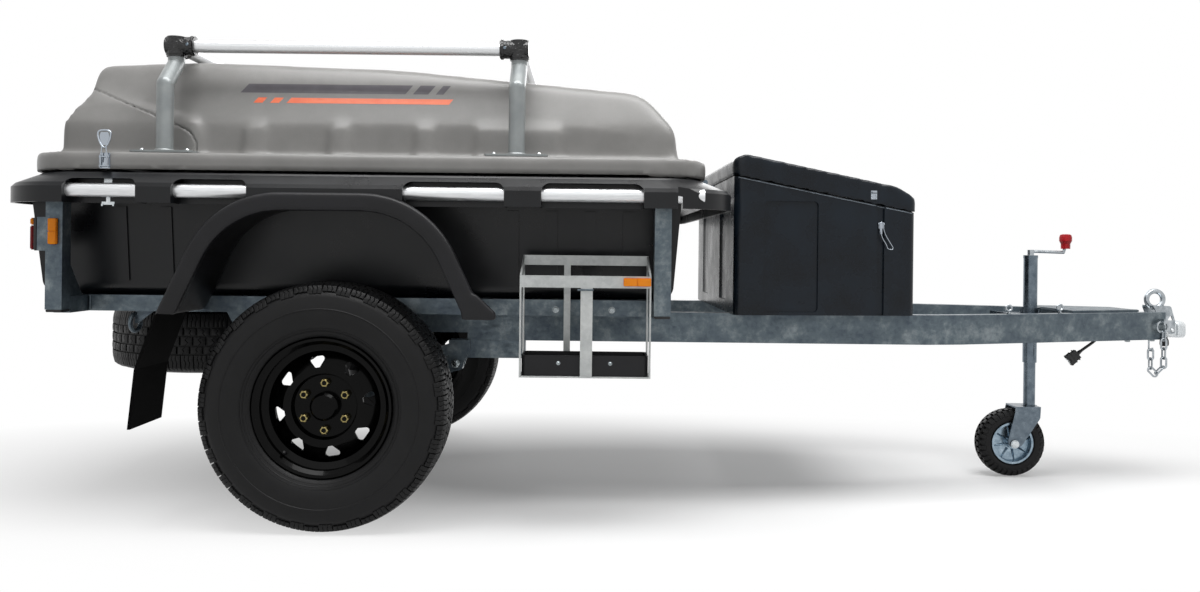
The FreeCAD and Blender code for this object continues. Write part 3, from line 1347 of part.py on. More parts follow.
def jockey_fork():
    # Leaning fork with rounded ends round the axle.
    x, top = JOCKEY_X, JOCKEY_CROWN - SEAT
    wx, r = JOCKEY_WHEEL_X, JOCKEY_WHEEL_R
    h, t, w = FORK_HALF, FORK_T, BLADE_HALF
    crown = cyl(JOCKEY_OUT_R + JOINT_RIM_IN, (x, 0, top - t), (x, 0, top))
    rear, front = wx + JOINT_RIM_UP, x + w
    bridge = box(rear, front, -h, h, top - t - OVER, top - OVER)
    head = top - STEEL
    blade = [(rear, head), (front, head), (front - 2, head - BLADE_EAR), (wx + w, r - w / 2),
             (wx - w, r - w / 2), (wx - w + 2, r + BLADE_SHOULDER)]
    sides = [prism_y(blade, y0, y0 + t, BLADE_ROUNDS) for y0 in (-h, h - t)]
    axle = cyl(PIN_R, (wx, -h - STEEL, r), (wx, h + STEEL, r))
    return fuse([crown, bridge, axle] + sides)


def jockey_tyre():
    r = JOCKEY_WHEEL_R
    h = JOCKEY_TYRE_W / 2
    half = [(JOCKEY_BEAD_R, h - 7), (95, h), (115, h - 1), (r - 3, h - 11), (r, h - 25)]
    return revolve_y([(a, -o) for a, o in half] + half[::-1], JOCKEY_WHEEL_X, 0, r)


def jockey_hub():
    bore, rim_r = PIN_R + HUB_SLIP, JOCKEY_BEAD_R - SEAT
    edge = HUB_HALF - HUB_WALL
    half = [(bore, HUB_HALF), (HUB_BOSS_R, HUB_HALF), (HUB_BOSS_R, HUB_WEB), (rim_r - HUB_WEB, HUB_WEB),
            (rim_r - 1.5 * HUB_WALL, edge), (rim_r, edge)]
    return revolve_y(half + [(a, -o) for a, o in half[::-1]], JOCKEY_WHEEL_X, 0, JOCKEY_WHEEL_R)


# Coupling

def between_rails(x0, x1, z0, z1, inset):
    # A plate whose sides follow the inner faces of the drawbar rails.
    y0, y1 = rail_inner(x0) - inset, rail_inner(x1) - inset
    return prism_z([(x0, -y0), (x1, -y1), (x1, y1), (x0, y0)], z0, z1)


def nose_plate():
    # Cover plate that laps over both rails behind the coupling.
    x0, x1 = NOSE_PLATE
    low = RAIL_TOP + SEAT
    return between_rails(x0, x1, low, low + BASE_T, -NOSE_LAP)


def coupling():
    nose = RAIL_NOSE
    crown = BALL_FACE + HEAD_H
    low = crown - YOKE_DROP
    yoke = between_rails(nose - YOKE[0], nose - YOKE[1], low, low + YOKE_T, SEAT)
    shank_top = low + YOKE_T - OVER
    shank = box(nose - SHANK_REAR, BALL_X, -SHANK_HALF, SHANK_HALF, shank_top - SHANK_T, shank_top)
    head = cyl(HEAD_R, (BALL_X, 0, BALL_FACE), (BALL_X, 0, crown))
    head = head.makeFillet(HEAD_EDGE, [e for e in head.Edges if e.CenterOfMass.z > crown - OVER])
    mouth = BALL_FACE - LIP_DROP
    lip = cyl(HEAD_R - LIP_T, (BALL_X, 0, mouth), (BALL_X, 0, BALL_FACE))
    reach = CHEEK_Y + CHEEK_T + STEEL
    pin = cyl(PIN_R, (LEVER_X, -reach, LEVER_Z), (LEVER_X, reach, LEVER_Z))
    socket_top = BALL_FACE + SOCKET_RISE
    bore = cyl(BALL_R, (BALL_X, 0, mouth - OVER), (BALL_X, 0, socket_top))
    dome = Part.makeSphere(BALL_R, V(BALL_X, 0, socket_top))
    body = fuse([yoke, shank, head, lip])
    wide = HEAD_R + WAIST_REAR
    waist = corners(BALL_X - wide, BALL_X - WAIST_FRONT, mouth - OVER, crown + OVER)
    cuts = [prism_y(waist, y0, y1, [0, 10, 10, 0]) for y0, y1 in ((-wide, -SHANK_HALF), (SHANK_HALF, wide))]
    return fuse([body.cut(cuts), pin]).cut(bore).cut(dome)


def coupling_handle():
    # Two pressed cheeks beside the coupling's neck, joined by a web and a lifting ring.
    x, z = LEVER_X, LEVER_Z
    out, inn = -CHEEK_Y - CHEEK_T, -CHEEK_Y
    outer, hole, web = [[(x + u, z + v) for u, v in shape] for shape in (CHEEK, CHEEK_WINDOW, CHEEK_WEB)]
    window = prism_y(hole, out - OVER, inn + OVER, CHEEK_WINDOW_ROUND)
    bore = cyl(PIN_R + SEAT, (x, out - OVER, z), (x, inn + OVER, z))
    cheek = prism_y(outer, out, inn, CHEEK_ROUNDS).cut(window).cut(bore)
    bridge = prism_y(web, -CHEEK_Y, CHEEK_Y)
    ring = Part.makeTorus(RING_R, RING_BAR, V(x - RING_BACK, 0, z + RING_RISE), V(0, 1, 0))
    return fuse([cheek, mirrored(cheek), bridge, ring])


# Shackle and safety chain: links threaded through each other, from a hook to the shackle

def loop_path(centre, along, across, half, arm):
    # Corner points of a long loop with two straight sides.
    points = []
    for k in range(LOOP_POINTS):
        a = 2 * math.pi * (k + 0.5) / LOOP_POINTS
        shift = math.copysign(half, math.cos(a))
        points.append(centre + along * (shift + arm * math.cos(a)) + across * (arm * math.sin(a)))
    return points


def chain_places():
    # Centre and direction of each link; its end bar rests in the next link's bend.
    end = LINK_HALF + LINK_ARM * math.cos(math.pi / LOOP_POINTS)
    along = V(0, 0, -1)
    here = V(CHAIN_X, CHAIN_Y, CHAIN_TOP)
    places = [(here, along)]
    for i, deg in enumerate(CHAIN_TURNS):
        a = math.radians(deg)
        following = V(math.sin(a), 0, -math.cos(a))
        bent = (following - along).Length > 0.01
        middle = (along + following).normalize() * (BEND_REST if bent else LINK_REST)
        first, last = (LINK_HALF, end) if i % 2 == 0 else (end, LINK_HALF)
        here = here + along * first + middle + following * last
        along = following
        places.append((here, along))
    return places


def chain_hook():
    # A hook under the drawbar rail that holds the first link.
    place = chain_places()[0][0]
    z = place.z + LINK_HALF + LINK_REST
    inner, outer = V(place.x, CHAIN_Y + HOOK_SPAN, z), V(place.x, CHAIN_Y - HOOK_SPAN, z)
    r = HOOK_R
    leg = cyl(r, inner, (place.x, inner.y, RAIL_TOP - RAIL_H - SEAT))
    tip = cyl(r, outer, (place.x, outer.y, z + HOOK_TIP))
    return fuse([leg, tip, cyl(r, inner, outer), Part.makeSphere(r, inner), Part.makeSphere(r, outer)])


def shackle():
    # A bow beside the rail, held by a welded lug; its lower limb carries the last link.
    limb = chain_places()[-1][0] + V(0, 0, LINK_HALF + SHACKLE_REST)
    slope = math.atan2(RAIL_Y - NOSE_Y, RAIL_NOSE - BEND_X)
    along = V(math.cos(slope), math.sin(slope), 0)
    drop = SHACKLE_ARM * math.cos(math.pi / LOOP_POINTS)
    centre = limb - along * SHACKLE_HALF + V(0, 0, drop)
    bow = ring_bar(loop_path(centre, along, V(0, 0, 1), SHACKLE_HALF, SHACKLE_ARM), SHACKLE_BAR, WIRE_SIDES)
    deep = -rail_y(centre.x) - RAIL_W / 2 / math.cos(slope) - centre.y
    t, h = LUG_T / 2, LUG_H / 2
    lug = box(-t, t, -SHACKLE_BAR - LUG_LAP, deep * math.cos(slope) - SEAT, drop - h, drop + h)
    lug = lug.cut(cyl(SHACKLE_BAR + SEAT, (-t - OVER, 0, drop), (t + OVER, 0, drop)))
    lug.rotate(V(0, 0, 0), V(0, 0, 1), math.degrees(slope))
    lug.translate(centre)
    return [bow, lug]


def safety_chain():
    links = []
    for i, (place, along) in enumerate(chain_places()):
        across = V(0, 1, 0) if i % 2 else along.cross(V(0, 1, 0))
        links.append(ring_bar(loop_path(place, along, across, LINK_HALF, LINK_ARM), LINK_BAR, WIRE_SIDES))
    return Part.makeCompound(links + [chain_hook()] + shackle())


# Trailer plug and its lead

def lead_bends():
    # Each bend of the lead as (start, middle, end, radius) of its arc.
    pts = [V(*p) for p in LEAD]
    bends = []
    for a, b, c in zip(pts, pts[1:], pts[2:]):
        back, on = (a - b).normalize(), (c - b).normalize()
        half = back.getAngle(on) / 2
        reach = ARC_SHARE * min((a - b).Length, (c - b).Length)
        r = reach * math.tan(half)
        inward = (back + on).normalize()
        bends.append((b + back * reach, b + inward * (r / math.sin(half) - r), b + on * reach, r))
    return bends


def plug_lead():
    here = V(*LEAD[0])
    edges = []
    for start, mid, end, r in lead_bends():
        edges += [Part.makeLine(here, start), Part.Arc(start, mid, end).toShape()]
        here = end
    edges.append(Part.makeLine(here, V(*LEAD[-1])))
    path = Part.Wire(edges)
    first = V(*LEAD[1]) - V(*LEAD[0])
    ring = Part.Wire([Part.makeCircle(LEAD_R, V(*LEAD[0]), first)])
    return path.makePipeShell([ring], True, True)


def plug():
    # A flat plug on the lead's end, in line with its last run.
    end, before = V(*LEAD[-1]), V(*LEAD[-2])
    run = (end - before).normalize()
    w, t = PLUG_W / 2, PLUG_T / 2
    deep, narrow = t - PLUG_SKIN, w - PLUG_SKIN
    far = PLUG_LONG + OVER
    back = box(0, PLUG_STEP * PLUG_LONG, -t, t, -narrow, narrow)
    shroud = box(PLUG_STEP * PLUG_LONG, PLUG_LONG, -t, t, -w, w)
    well = box(PLUG_WELL * PLUG_LONG, far, -deep, deep, -narrow, narrow)
    notch = box(PLUG_NOTCH * PLUG_LONG, far, -t - OVER, t + OVER, -w / 3, w / 3)
    body = fuse([back, shroud]).cut(well).cut(notch)
    turn = FreeCAD.Rotation(V(1, 0, 0), run)
    body.Placement = FreeCAD.Placement(end, turn)
    return body


def cord_gland():
    x, y, z = LEAD[0]
    low = z + SEAT
    body = cyl(GLAND_R, (x, y, low + GLAND_CONE), (x, y, RAIL_TOP))
    collar = Part.makeCone(GLAND_R - GLAND_TIP, GLAND_R, GLAND_CONE, V(x, y, low), V(0, 0, 1))
    return fuse([body, collar])


NODES = {
    "drawbar_rails": drawbar_rails,
    "side_rails": side_rails,
    "cross_members": cross_members,
    "corner_posts": corner_posts,
    "bracket_plates": bracket_plates,
    "suspension_arms": suspension_arms,
    "springs": springs,
    "tyre_right": lambda: tyre(0, -WHEEL_Y, AXLE_Z),
    "rim_right": lambda: rim(0, -WHEEL_Y, AXLE_Z),
    "hub_right": lambda: hub(0, -WHEEL_Y, AXLE_Z),
    "tyre_left": lambda: mirrored(tyre(0, -WHEEL_Y, AXLE_Z)),
    "rim_left": lambda: mirrored(rim(0, -WHEEL_Y, AXLE_Z)),
    "hub_left": lambda: mirrored(hub(0, -WHEEL_Y, AXLE_Z)),
    "mudguards": mudguards,
    "mud_flaps": mud_flaps,
    "tub": tub,
    "tie_rail": tie_rail,
    "tail_lamps": tail_lamps,
    "side_markers": side_markers,
    "jerry_holder": jerry_holder,
    "jerry_tray": jerry_tray,
    "toolbox_body": toolbox_body,
    "toolbox_lid": toolbox_lid,
    "toolbox_latches": toolbox_latches,
    "spare_tyre": lambda: lay_flat(tyre(0, 0, 0)),
    "spare_rim": lambda: lay_flat(rim(0, 0, 0)),
    "lid": lid,
    "lid_hinges": lid_hinges,
    "lid_leaves": lid_leaves,
    "lid_latches": lid_latches,
    "rack_legs": rack_legs,
    "rack_joints": rack_joints,
    "rack_bars": rack_bars,
    "jockey_tube": jockey_tube,
    "jockey_crank": jockey_crank,
    "jockey_inner": jockey_inner,
    "jockey_fork": jockey_fork,
    "jockey_tyre": jockey_tyre,
    "jockey_hub": jockey_hub,
    "coupling": coupling,
    "coupling_handle": coupling_handle,
    "safety_chain": safety_chain,
    "plug_lead": plug_lead,
    "plug": plug,
    "cord_gland": cord_gland,
}


def main():
    os.makedirs("parts", exist_ok=True)
    middle = (REAR_END + NOSE_END) / 2
    for name, make in NODES.items():
        s = make().copy()
        s.translate(V(-middle, 0, 0))
        s.exportStep("parts/" + name + ".step")
        print(name, len(s.Solids), s.isValid(), round(s.Volume / 1e6, 3),
              [round(v) for v in (s.BoundBox.XMin, s.BoundBox.XMax, s.BoundBox.YMin,
                                  s.BoundBox.YMax, s.BoundBox.ZMin, s.BoundBox.ZMax)])
    print("lead radii", [round(bend[3], 1) for bend in lead_bends()])


main()
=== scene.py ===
from collections import namedtuple
from math import cos, hypot, pi, radians, sin

import bmesh
import bpy
from mathutils import Euler, Matrix, Vector
from mathutils.bvhtree import BVHTree


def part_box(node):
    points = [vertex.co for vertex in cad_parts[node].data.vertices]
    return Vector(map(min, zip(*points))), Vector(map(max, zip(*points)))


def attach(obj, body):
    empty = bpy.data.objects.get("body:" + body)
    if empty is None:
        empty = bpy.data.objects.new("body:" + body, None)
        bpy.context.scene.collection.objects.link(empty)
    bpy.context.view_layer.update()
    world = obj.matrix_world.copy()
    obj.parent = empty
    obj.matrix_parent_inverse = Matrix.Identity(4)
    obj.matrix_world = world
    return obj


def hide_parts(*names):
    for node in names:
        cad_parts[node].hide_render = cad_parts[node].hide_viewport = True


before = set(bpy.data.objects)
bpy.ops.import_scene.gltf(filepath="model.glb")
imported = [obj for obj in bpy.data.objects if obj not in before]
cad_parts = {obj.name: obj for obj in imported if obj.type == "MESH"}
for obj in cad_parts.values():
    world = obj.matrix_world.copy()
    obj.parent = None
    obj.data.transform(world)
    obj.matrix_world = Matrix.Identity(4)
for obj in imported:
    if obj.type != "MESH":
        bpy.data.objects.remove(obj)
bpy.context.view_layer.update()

# Pieces are drawn in millimetres from the axle: +X forward, +Y left, +Z up, the ground at zero.
MM = 0.001
tyre_low, tyre_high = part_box("tyre_right")
AXLE_X = (tyre_low.x + tyre_high.x) / 2
AXLE_Z = tyre_high.z / 2 / MM
WHEEL_Y = -(tyre_low.y + tyre_high.y) / 2 / MM


def linear(hex_colour):
    """Turns an sRGB hex colour into linear values with alpha."""
    out = []
    for i in (1, 3, 5):
        c = int(hex_colour[i:i + 2], 16) / 255
        out.append(c / 12.92 if c <= 0.04045 else ((c + 0.055) / 1.055) ** 2.4)
    return (*out, 1.0)


def add(tree, kind, settings=None, links=None):
    """Adds a shader node with its settings, its colour stops and the links that come into it."""
    node = tree.nodes.new(kind)
    for key, value in (settings or {}).items():
        if key == "stops":
            elements = node.color_ramp.elements
            for i, (position, colour) in enumerate(value):
                element = elements[i] if i < 2 else elements.new(position)
                element.position = position
                element.color = linear(colour)
        elif isinstance(key, int) or key in node.inputs:
            node.inputs[key].default_value = value
        else:
            setattr(node, key, value)
    for key, (source, output) in (links or {}).items():
        tree.links.new(source.outputs[output], node.inputs[key])
    return node


Skin = namedtuple("Skin", "material tree shader place")


def new_material(name, colour, roughness, metallic=0.0, **sockets):
    """Starts a material: its tree, its shader with plain values, and its coordinates in metres."""
    mat = bpy.data.materials.new(name)
    mat.use_nodes = True
    tree = mat.node_tree
    shader = tree.nodes["Principled BSDF"]
    shader.inputs["Base Color"].default_value = linear(colour)
    shader.inputs["Roughness"].default_value = roughness
    shader.inputs["Metallic"].default_value = metallic
    for key, value in sockets.items():
        shader.inputs[key.replace("_", " ")].default_value = value
    return Skin(mat, tree, shader, add(tree, "ShaderNodeTexCoord"))


COLOUR_RAMP = "ShaderNodeValToRGB"


def tint(skin, source, stops, output="Fac"):
    """Colours a surface by (position, hex colour) stops along a factor."""
    colours = add(skin.tree, COLOUR_RAMP, {"stops": stops}, {"Fac": (source, output)})
    skin.tree.links.new(colours.outputs["Color"], skin.shader.inputs["Base Color"])


def shine(skin, source, low, high, start=0.0, end=1.0):
    """Lets the roughness run from low to high while a factor goes from start to end."""
    rough = add(skin.tree, "ShaderNodeMapRange",
                {"From Min": start, "From Max": end, "To Min": low, "To Max": high},
                {"Value": (source, "Fac")})
    skin.tree.links.new(rough.outputs["Result"], skin.shader.inputs["Roughness"])


def relief(skin, source, depth, strength=1.0, output="Fac", below=None):
    """Embosses a pattern to a depth in metres, over an earlier relief if there is one."""
    links = {"Height": (source, output)}
    if below:
        links["Normal"] = (below, "Normal")
    bump = add(skin.tree, "ShaderNodeBump", {"Distance": depth, "Strength": strength}, links)
    skin.tree.links.new(bump.outputs["Normal"], skin.shader.inputs["Normal"])
    return bump


def blotches(skin, size_mm, detail=2.0, roughness=0.5, stretch=(1, 1, 1)):
    """A cloudy pattern whose blotches are about size_mm across."""
    scaled = add(skin.tree, "ShaderNodeMapping", {"Scale": stretch}, {"Vector": (skin.place, "Object")})
    return add(skin.tree, "ShaderNodeTexNoise",
               {"Scale": 1 / (size_mm * MM), "Detail": detail, "Roughness": roughness},
               {"Vector": (scaled, "Vector")})


# Materials

def galvanised_steel(name, dark, middle, light, metallic):
    # Mild steel dipped in molten zinc: grey crystals 8 to 15 mm wide with cloudy white bloom.
    skin = new_material(name, middle, 0.42, metallic)
    spangle = add(skin.tree, "ShaderNodeTexVoronoi", {"Scale": 1 / (11 * MM), "Randomness": 1.0},
                  {"Vector": (skin.place, "Object")})
    grey = add(skin.tree, "ShaderNodeRGBToBW", links={"Color": (spangle, "Color")})
    cloud = blotches(skin, 85, 6.0, 0.7)
    streak = blotches(skin, 16, 3.0, 0.6, (0.35, 1, 1.3))
    crystals = add(skin.tree, COLOUR_RAMP, {"stops": ((0.15, dark), (0.85, middle))},
                   {"Fac": (grey, "Val")})
    bloom = add(skin.tree, COLOUR_RAMP, {"stops": ((0.36, dark), (0.52, middle), (0.7, light))},
                {"Fac": (cloud, "Fac")})
    mixed = add(skin.tree, "ShaderNodeMix", {"data_type": "RGBA", 0: 0.62},
                {6: (crystals, "Color"), 7: (bloom, "Color")})
    skin.tree.links.new(mixed.outputs[2], skin.shader.inputs["Base Color"])
    shine(skin, streak, 0.28, 0.56, 0.3, 0.7)
    first = relief(skin, grey, 0.0003, 0.25, "Val")
    relief(skin, streak, 0.0006, 0.35, below=first)
    return skin.material


def cast_iron_zinc():
    # Ductile iron casting dipped in zinc: pale satin skin with fine sand pits from the mould.
    skin = new_material("zinc_dipped_cast_iron", "#d8dcde", 0.4, 0.6)
    pits = blotches(skin, 2.5, 3.0, 0.7)
    cloud = blotches(skin, 40, 3.0)
    tint(skin, cloud, ((0.3, "#cbd0d3"), (0.7, "#e6e9ea")))
    relief(skin, pits, 0.0005, 0.4)
    return skin.material


def zinc_plate(name, dark, light):
    # Steel electroplated with bright zinc: smooth, bluish and almost mirror-like.
    skin = new_material(name, light, 0.24, 0.95)
    cloud = blotches(skin, 25, 4.0, 0.6)
    tint(skin, cloud, ((0.3, dark), (0.7, light)))
    shine(skin, cloud, 0.16, 0.34)
    fine = blotches(skin, 3, 2.0)
    relief(skin, fine, 0.0001, 0.15)
    return skin.material


def chromed_steel():
    # Pressed steel with bright chrome: clear dark and light reflections along its bends.
    skin = new_material("chromed_pressed_steel", "#a4abb3", 0.12, 1.0)
    smear = blotches(skin, 12, 3.0)
    shine(skin, smear, 0.07, 0.22)
    return skin.material


def yellow_zinc():
    # Zinc with a yellow passivate: the wheel nuts show a thin golden tint.
    skin = new_material("yellow_passivated_zinc", "#b39a5c", 0.3, 0.9)
    gold = blotches(skin, 6, 2.0)
    tint(skin, gold, ((0.3, "#6f6440"), (0.6, "#a89a66"), (0.75, "#87906f")))
    return skin.material


def satin_aluminium(along):
    # Drawn aluminium tube, anodised satin: fine lines run along its length.
    stretch = [1.0, 1.0, 1.0]
    stretch["xyz".index(along)] = 0.03
    skin = new_material("anodised_aluminium_drawn_" + along, "#d8dadc", 0.33, 0.85)
    lines = blotches(skin, 1.5, 2.0, 0.5, tuple(stretch))
    tint(skin, lines, ((0.3, "#cfd1d3"), (0.7, "#e6e7e8")))
    shine(skin, lines, 0.27, 0.42)
    relief(skin, lines, 0.0001, 0.2)
    return skin.material


def silver_powder_coat():
    # Polyester powder baked on steel tube: pale grey-green silver with a faint orange peel.
    skin = new_material("polyester_powder_coat_silver", "#868b8b", 0.36, 0.25,
                        Coat_Weight=0.25, Coat_Roughness=0.2)
    peel = blotches(skin, 2.2, 1.0)
    tone = blotches(skin, 60, 3.0)
    tint(skin, tone, ((0.3, "#7e8384"), (0.7, "#8f9494")))
    relief(skin, peel, 0.0002, 0.25)
    return skin.material


def black_enamel():
    # Stove enamel sprayed on pressed steel wheels: deep gloss black with slight dust.
    skin = new_material("stove_enamel_black", "#050505", 0.16, 0.0,
                        Specular_IOR_Level=0.05, Coat_Weight=0.09,
                        Coat_Roughness=0.04)
    dust = blotches(skin, 45, 5.0, 0.65)
    tint(skin, dust, ((0.45, "#020202"), (0.8, "#070707")))
    shine(skin, dust, 0.12, 0.3, 0.35, 0.8)
    return skin.material


def moulded_polyethylene(name, dark, light, roughness, grain_mm, grain_depth, gloss=0.4):
    # Rotationally moulded polyethylene: soft satin sheen over a fine pebbled skin.
    skin = new_material(name, dark, roughness, 0.0, IOR=1.51,
                        Specular_IOR_Level=gloss)
    cloud = blotches(skin, 140, 4.0, 0.6)
    speck = blotches(skin, grain_mm, 2.0, 0.6)
    both = add(skin.tree, "ShaderNodeMath", {"operation": "MULTIPLY_ADD", 1: 0.3},
               {0: (speck, "Fac"), 2: (cloud, "Fac")})
    tint(skin, both, ((0.5, dark), (0.82, light)), "Value")
    shine(skin, cloud, roughness - 0.05, roughness + 0.07, 0.3, 0.7)
    relief(skin, speck, grain_depth, 0.4)
    return skin.material


def glossy_abs():
    # Injection-moulded ABS corner joints: shiny black with small hard highlights.
    skin = new_material("injection_moulded_abs_black", "#08080a", 0.2)
    ripple = blotches(skin, 7, 1.5, 0.5)
    shine(skin, ripple, 0.06, 0.2)
    relief(skin, ripple, 0.004, 1.0)
    return skin.material


def plain_black_plastic():
    # Moulded nylon caps and glands: dull black with light scuffs.
    skin = new_material("moulded_nylon_black", "#121214", 0.5)
    scuff = blotches(skin, 9, 3.0)
    tint(skin, scuff, ((0.4, "#0f0f11"), (0.8, "#232325")))
    relief(skin, scuff, 0.0003, 0.3)
    return skin.material


def tyre_rubber():
    # Vulcanised carbon-black rubber: charcoal, matt, a little greyer where it has been handled.
    skin = new_material("vulcanised_tyre_rubber", "#0e0e0f", 0.46, 0.0,
                        Specular_IOR_Level=0.22)
    bloom = blotches(skin, 60, 5.0, 0.62)
    fine = blotches(skin, 2.0, 2.0)
    tint(skin, bloom, ((0.35, "#0a0a0b"), (0.7, "#131314")))
    shine(skin, bloom, 0.4, 0.56, 0.3, 0.7)
    relief(skin, fine, 0.0003, 0.25)
    return skin.material


def sheet_rubber():
    # Calendered rubber sheet of the mud flaps and seals: flat black with a faint cloth print.
    skin = new_material("calendered_rubber_sheet", "#040405", 0.7, 0.0,
                        Specular_IOR_Level=0.04)
    weave = add(skin.tree, "ShaderNodeTexWave", {"Scale": 1 / (6 * MM), "Distortion": 1.5},
                {"Vector": (skin.place, "Object")})
    relief(skin, weave, 0.0002, 0.25)
    dust = blotches(skin, 80, 4.0)
    tint(skin, dust, ((0.4, "#040404"), (0.75, "#090909")))
    return skin.material


def pvc_sheath():
    # Extruded PVC cable sheath: soft black with a low sheen.
    skin = new_material("extruded_pvc_sheath", "#131315", 0.45)
    fine = blotches(skin, 4, 2.0)
    shine(skin, fine, 0.38, 0.55)
    relief(skin, fine, 0.0002, 0.2)
    return skin.material


def lamp_lens(name, colour, deep):
    # Injection-moulded acrylic lens: clear skin over a moulded prism pattern 4 mm apart.
    skin = new_material(name, colour, 0.25, 0.0, Specular_IOR_Level=0.25)
    prisms = add(skin.tree, "ShaderNodeTexWave", {"Scale": 1 / (8 * MM), "bands_direction": "Z"},
                 {"Vector": (skin.place, "Object")})
    tint(skin, prisms, ((0.2, deep), (0.8, colour)))
    relief(skin, prisms, 0.0005, 0.4)
    return skin.material


def knob_plastic():
    # Moulded phenolic knob: saturated red with a soft gloss.
    skin = new_material("moulded_phenolic_red", "#a0101a", 0.35, 0.0,
                        Specular_IOR_Level=0.3)
    fade = blotches(skin, 20, 3.0)
    tint(skin, fade, ((0.35, "#980f18"), (0.7, "#a8131d")))
    return skin.material


def cut_vinyl(name, colour, light):
    # Cast vinyl film cut into stripes: even colour with a slight gloss.
    skin = new_material(name, colour, 0.28)
    fade = blotches(skin, 50, 4.0)
    tint(skin, fade, ((0.3, colour), (0.75, light)))
    return skin.material


GALVANISED = galvanised_steel("hot_dip_galvanised_steel", "#46505a", "#5f6a70", "#9aa2a4", 0.7)
GALV_SHEET = galvanised_steel("galvanised_strip_satin", "#a6a9a9", "#bbbebd", "#cdcfcd", 0.3)
CAST = cast_iron_zinc()
# This zinc's dark grey is a painted dark reflection: it stands in for the dark surroundings that bright
# zinc plate would mirror.
ZINC_PAINTED_DARK_REFLECTION = zinc_plate("zinc_plate_painted_dark_reflection", "#55606a", "#747f88")
BLUE_ZINC = zinc_plate("zinc_electroplated_pressing_blue", "#6a7d8c", "#a4b5c1")
BRIGHT_ZINC = zinc_plate("zinc_electroplated_forging", "#868d92", "#bfc4c8")
BOLT_ZINC = zinc_plate("zinc_electroplated_bolts", "#7d8588", "#a3a9ab")
PALE_CLIP = zinc_plate("zinc_electroplated_fasteners", "#b4bbbf", "#dde1e3")
CHROME = chromed_steel()
GOLD_ZINC = yellow_zinc()
ALU_X = satin_aluminium("x")
ALU_Y = satin_aluminium("y")
SILVER = silver_powder_coat()
ENAMEL = black_enamel()
GREY_LID = moulded_polyethylene("rotomoulded_polyethylene_warm_grey", "#787775", "#82817f", 0.36, 2.5,
                                0.0002, 0.45)
BLACK_TUB = moulded_polyethylene("rotomoulded_polyethylene_black", "#08090c", "#0e1013", 0.3, 2.5,
                                 0.0003, 0.3)
GUARD_BLACK = moulded_polyethylene("injection_moulded_polypropylene_black", "#101012", "#18181b",
                                   0.42, 1.8, 0.0004, 0.25)
BOX_BLACK = moulded_polyethylene("rotomoulded_polyethylene_blue_black", "#0b1016", "#121a22", 0.26, 3.0,
                                 0.0002, 0.22)
# The toolbox lip's pale grey is a painted highlight: the lip is coloured as if its edge caught the
# overhead light.
BOX_LIP_PAINTED_HIGHLIGHT = moulded_polyethylene("polyethylene_lip_painted_highlight", "#59626b", "#7c858e", 0.3, 3.0, 0.0002)
ABS = glossy_abs()
NYLON = plain_black_plastic()
TYRE = tyre_rubber()
SHEET_RUBBER = sheet_rubber()
PVC = pvc_sheath()
AMBER = lamp_lens("moulded_acrylic_amber", "#f0900f", "#e37f06")
RED = lamp_lens("moulded_acrylic_red", "#8c0f14", "#5a070b")
KNOB = knob_plastic()
DARK_FILM = cut_vinyl("cast_vinyl_film_dark_grey", "#4a474c", "#57545a")
ORANGE_FILM = cut_vinyl("cast_vinyl_film_orange", "#e8602c", "#f07038")


def new_object(name, data, material=None):
    """Puts an object into the scene, with its material if it has one."""
    obj = bpy.data.objects.new(name, data)
    if material:
        data.materials.append(material)
    bpy.context.collection.objects.link(obj)
    return obj


# The photograph's camera

PHOTO_W, PHOTO_H = 1200, 592
FOCAL_PX = 1000
VANISH_X, VANISH_Y = 587, 250
SENSOR = 36.0
EYE = Vector((-0.2585, -3.80, 0.837))
ROLL = 0.0113


def add_camera():
    data = bpy.data.cameras.new("photo_camera")
    data.sensor_width = SENSOR
    data.lens = SENSOR * FOCAL_PX / PHOTO_W
    data.shift_x = (PHOTO_W / 2 - VANISH_X) / PHOTO_W
    data.shift_y = -(PHOTO_H / 2 - VANISH_Y) / PHOTO_W
    data.clip_end = 60
    cam = new_object("photo_camera", data)
    cam.location = EYE
    cam.rotation_euler = Euler((pi / 2, -ROLL, 0))
    bpy.context.scene.camera = cam


add_camera()


# Mesh building. A shape is a list of points and a list of faces, in millimetres.

def finish_mesh(name, shapes, material, body, stands_for=(), bevel=0.0, sharp=35):
    """Joins shapes into one piece that rides a body, with creases at over sharp degrees."""
    bm = bmesh.new()
    for points, faces in shapes:
        made = [bm.verts.new(p) for p in points]
        for face in faces:
            bm.faces.new([made[i] for i in face])
    bmesh.ops.recalc_face_normals(bm, faces=bm.faces)
    if bevel:
        edges = [e for e in bm.edges if e.is_manifold and e.calc_face_angle(0) > radians(sharp)]
        bmesh.ops.bevel(bm, geom=edges, offset=bevel, segments=2, affect="EDGES", clamp_overlap=True)
    for vert in bm.verts:
        vert.co = Vector((vert.co.x * MM + AXLE_X, vert.co.y * MM, vert.co.z * MM))
    for face in bm.faces:
        face.smooth = True
    for edge in bm.edges:
        edge.smooth = edge.is_manifold and edge.calc_face_angle(0) < radians(sharp)
    mesh = bpy.data.meshes.new(name)
    bm.to_mesh(mesh)
    bm.free()
    obj = new_object(name, mesh, material)
    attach(obj, body)
    if stands_for:
        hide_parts(*stands_for)
    return obj


def moved(shape, matrix):
    points, faces = shape
    return [matrix @ Vector(p) for p in points], faces


def both(shapes):
    """The shapes and their mirror images across the middle of the trailer."""
    return shapes + [([Vector((p[0], -p[1], p[2])) for p in points], [f[::-1] for f in faces])
                     for points, faces in shapes]


def facing(place, axis):
    """The matrix that takes +Z to an axis at a place."""
    turn = Vector((0, 0, 1)).rotation_difference(Vector(axis)).to_matrix().to_4x4()
    return Matrix.Translation(place) @ turn


def axes(place, across, out, up):
    """The matrix that takes X, Y and Z to three directions at a place."""
    turn = Matrix((across, out, up)).transposed().to_4x4()
    return Matrix.Translation(place) @ turn


